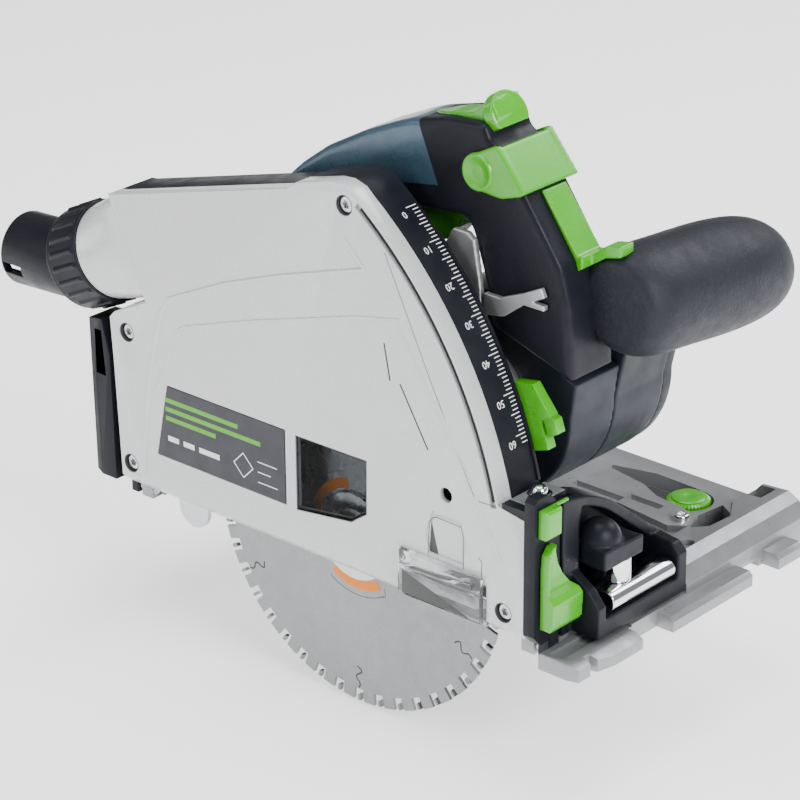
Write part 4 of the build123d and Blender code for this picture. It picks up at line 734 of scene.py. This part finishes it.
def grooved_cover():
    """Cover with a shadow groove inside its curved edge."""
    band = arc(PIVOT, COVER_EDGE_R + 1.6, 13, 53, 60) + arc(PIVOT, COVER_EDGE_R - 1.6, 53, 13, 60)
    done = cut_mesh(cad_copy("blade_cover"), [prism_mesh("tool", band, -15, -12.2)])
    obj = piece("blade_cover_look", done, "head", "cover_paint", ("blade_cover",))
    smooth(done)
    break_edges(obj, 0.7, 3, 28)


def clamp_bar():
    """Bright half-round bar of the fence clamp with its flat tongue."""
    nose = [(123.3 + 4.6 * math.cos(math.radians(t)), 22.4 + 4.6 * math.sin(math.radians(t)))
            for t in range(-90, 100, 10)]
    outline = [(114, 19.2)] + nose + [(120, 27), (118.6, 25.6), (114, 25.6)]
    mesh = prism_mesh("bar", outline, 20.6, 63.9)
    obj = piece("fence_clamp_bar_look", mesh, BODY_OF["fence_clamp_bar"], "bright_steel",
                ("fence_clamp_bar",))
    smooth(mesh)
    break_edges(obj, 0.7, 3, 35)


def clamp_knob():
    """Wing knob: a dome that runs out into a flat-fronted wing."""
    bm = bmesh.new()
    wings = ((106, 125.2, 50.5, 46.5, 19, 43), (112, 125.2, 48, 47, 17.4, 44))
    for x1, x2, top_rear, top_front, y1, y2 in wings:
        low = [bm.verts.new((x * MM, y * MM, 38.2 * MM)) for x, y in ((x1, y1), (x2, y1), (x2, y2), (x1, y2))]
        high = [bm.verts.new((x * MM, y * MM, z * MM)) for x, y, z in
                ((x1, y1, top_rear), (x2, y1, top_front), (x2, y2, top_front - 0.5), (x1, y2, top_rear - 3))]
        bm.faces.new(list(reversed(low)))
        bm.faces.new(high)
        for k in range(4):
            n = (k + 1) % 4
            bm.faces.new((low[k], low[n], high[n], high[k]))
    bmesh.ops.create_icosphere(bm, subdivisions=4, radius=9.6 * MM,
                               matrix=Matrix.Translation((114.6 * MM, 27 * MM, 47.4 * MM)))
    piece("fence_clamp_knob_look", worked(shell_from("knob", bm), 0.45, 18), BODY_OF["fence_clamp_knob"],
          "black_plastic", ("fence_clamp_knob",))


def latch_lever():
    """Green thumb lever: a thin upright back edge, a scooped middle and a blocky foot."""
    bm = bmesh.new()
    rows = []
    back = 113
    for z, left, right, front in ((18.2, -10.8, 9.0, 118.6), (20, -10.9, 9.3, 119.8), (31, -10.9, 9.3, 120.2),
                                  (33.5, -10.9, 8.6, 118.6), (36, -10.9, 5.6, 115.8), (41, -10.9, 2.2, 114.4),
                                  (47, -10.9, -0.6, 114.2), (53, -10.4, -2.6, 114.9), (56.6, -7.2, -3.6, 116.0)):
        rows.append([bm.verts.new((x * MM, y * MM, z * MM)) for x, y in
                     ((back, left), (front if z < 34 else 117.6, left), (front if z < 34 else 117.4, left + 1.6),
                      (front, left + 3.4 if z > 34 else 0.0), (front, right), (back, right))])
    for one, two in zip(rows, rows[1:]):
        for k in range(6):
            n = (k + 1) % 6
            bm.faces.new((one[k], one[n], two[n], two[k]))
    bm.faces.new(list(reversed(rows[0])))
    bm.faces.new(rows[-1])
    piece("tilt_latch_look", worked(shell_from("latch", bm), 0.3, 6), "latch", "green_plastic",
          ("tilt_latch",))


def ribbed_cam(node, centre):
    """Eccentric wheel with a ribbed rim and a dished top, sunk in its pocket."""
    bm = bmesh.new()
    outline = []
    ribs = 72
    for k in range(ribs):
        t = 2 * math.pi * k / ribs
        r = 10.4 if k % 2 else 9.7
        outline.append(Vector((centre[0] + r * math.cos(t), centre[1] + r * math.sin(t))))
    low = [bm.verts.new((p.x * MM, p.y * MM, 5 * MM)) for p in outline]
    high = [bm.verts.new((p.x * MM, p.y * MM, 12.6 * MM)) for p in outline]
    inner = [bm.verts.new(((centre[0] + 0.86 * (p.x - centre[0])) * MM,
                           (centre[1] + 0.86 * (p.y - centre[1])) * MM, 13.4 * MM)) for p in outline]
    bm.faces.new(list(reversed(low)))
    bm.faces.new(inner)
    for k in range(ribs):
        n = (k + 1) % ribs
        bm.faces.new((low[k], low[n], high[n], high[k]))
        bm.faces.new((high[k], high[n], inner[n], inner[k]))
    piece(node + "_look", shell_from(node, bm), BODY_OF[node], "green_plastic", (node,))
    hub = at((centre[0], centre[1], 13.3), (0, 0, 1))
    lathe(node + "_hub", [(0, 0.5), (1.6, 0.5), (2.4, 1.0), (7.4, 1.0), (8.0, 0.6), (8.2, -0.6)], hub,
          BODY_OF[node], "green_plastic")


def round_outline(x, y, radius, count=40):
    return [(x + radius * math.cos(2 * math.pi * k / count), y + radius * math.sin(2 * math.pi * k / count))
            for k in range(count)]


def base_pockets():
    """Dark plates on the floors of the sole's pockets: painted shade in the recesses, together with the darker bare
    structure under the sole.
    """
    for name, outline, height in (
            ("pocket_side", [(91.6, 129), (93.4, 144.6), (102.6, 139), (112.2, 123.6), (111.2, 110.8),
                             (106, 105.2), (100.4, 112.4)], 2.05),
            ("pocket_wedge", [(29, 146.6), (50, 152.4), (75.4, 151.4), (75.4, 129), (52, 140.6), (31, 144.4)],
             4.55),
            ("pocket_cam_front", round_outline(78, 140, 11.5), 4.55),
            ("pocket_cam_rear", round_outline(-112, 140, 11.5), 4.55),
            ("pocket_front", [(102, 148.4), (112, 148.4), (112, 159.6), (102, 159.6)], 15.55),
            ("pocket_hole", round_outline(114.5, 90, 3.0, 24), 15.55)):
        plate(name, outline, plane_at("top", height), 0.12, "base", "pocket_shade_dark")


def screw_well_shades():
    """Dark sleeves on the walls of the cover's screw recesses: painted shade inside the recesses."""
    for i, (x, z) in enumerate(((95.6, 21.4), (-129.9, 21.7), (-129, 88), (7.6, 183.4))):
        lathe("screw_well_%d" % i, [(4.25, -0.05), (4.62, -0.05), (4.6, -2.3), (4.3, -2.3), (4.25, -0.05)],
              at((x, -14.05, z), (0, -1, 0)), "head", "pocket_shade_dark")


def shoulder_plate():
    plate("shoulder_plate", [(95, -9), (106.2, -9), (106.2, 13.4), (95, 13.4)], plane_at("top", 72.45), 0.5,
          "head", "cast_light", edge=0.2)


def reflector_cards():
    """Dark studio cards outside the view that give the bright metal something to mirror."""
    cards = (((2.6, 1.0, 0.5), 1.4), ((-0.6, -2.6, 0.5), 1.2), ((1.9, -1.9, -0.02), 0.7))
    for i, (place, size) in enumerate(cards):
        mesh = bpy.data.meshes.new("card")
        turn = Vector(place).to_track_quat("Z", "Y").to_matrix().to_4x4()
        base = Matrix.Translation(place) @ turn
        mesh.from_pydata([base @ Vector((x * size / 2, y * size / 3, 0)) for x, y in
                          ((-1, -1), (1, -1), (1, 1), (-1, 1))], [], [(0, 1, 2, 3)])
        card = bpy.data.objects.new("card_%d" % i, mesh)
        bpy.context.scene.collection.objects.link(card)
        card.data.materials.append(MATS["dark_print_and_shade"])
        card.visible_camera = False


clamp_bar()
clamp_knob()
latch_lever()
ribbed_cam("rail_cam_front", (78, 140))
ribbed_cam("rail_cam_rear", (-112, 140))
base_pockets()
screw_well_shades()
shoulder_plate()
reflector_cards()
split_handle()
lock_button()
lever_boss()
grooved_cover()

add_camera()
add_world()
add_floor()
add_light("front", (1.5, -0.25, 0.95), (0, 0, 0.08), 0.9, 34)
add_light("side", (-0.9, -1.5, 1.0), (0, 0, 0.06), 1.5, 19)
add_light("back", (0.3, 1.5, 1.3), (0, 0, 0.08), 1.2, 22)
add_light("top", (-0.1, 0.1, 1.8), (0, 0, 0), 1.4, 22)
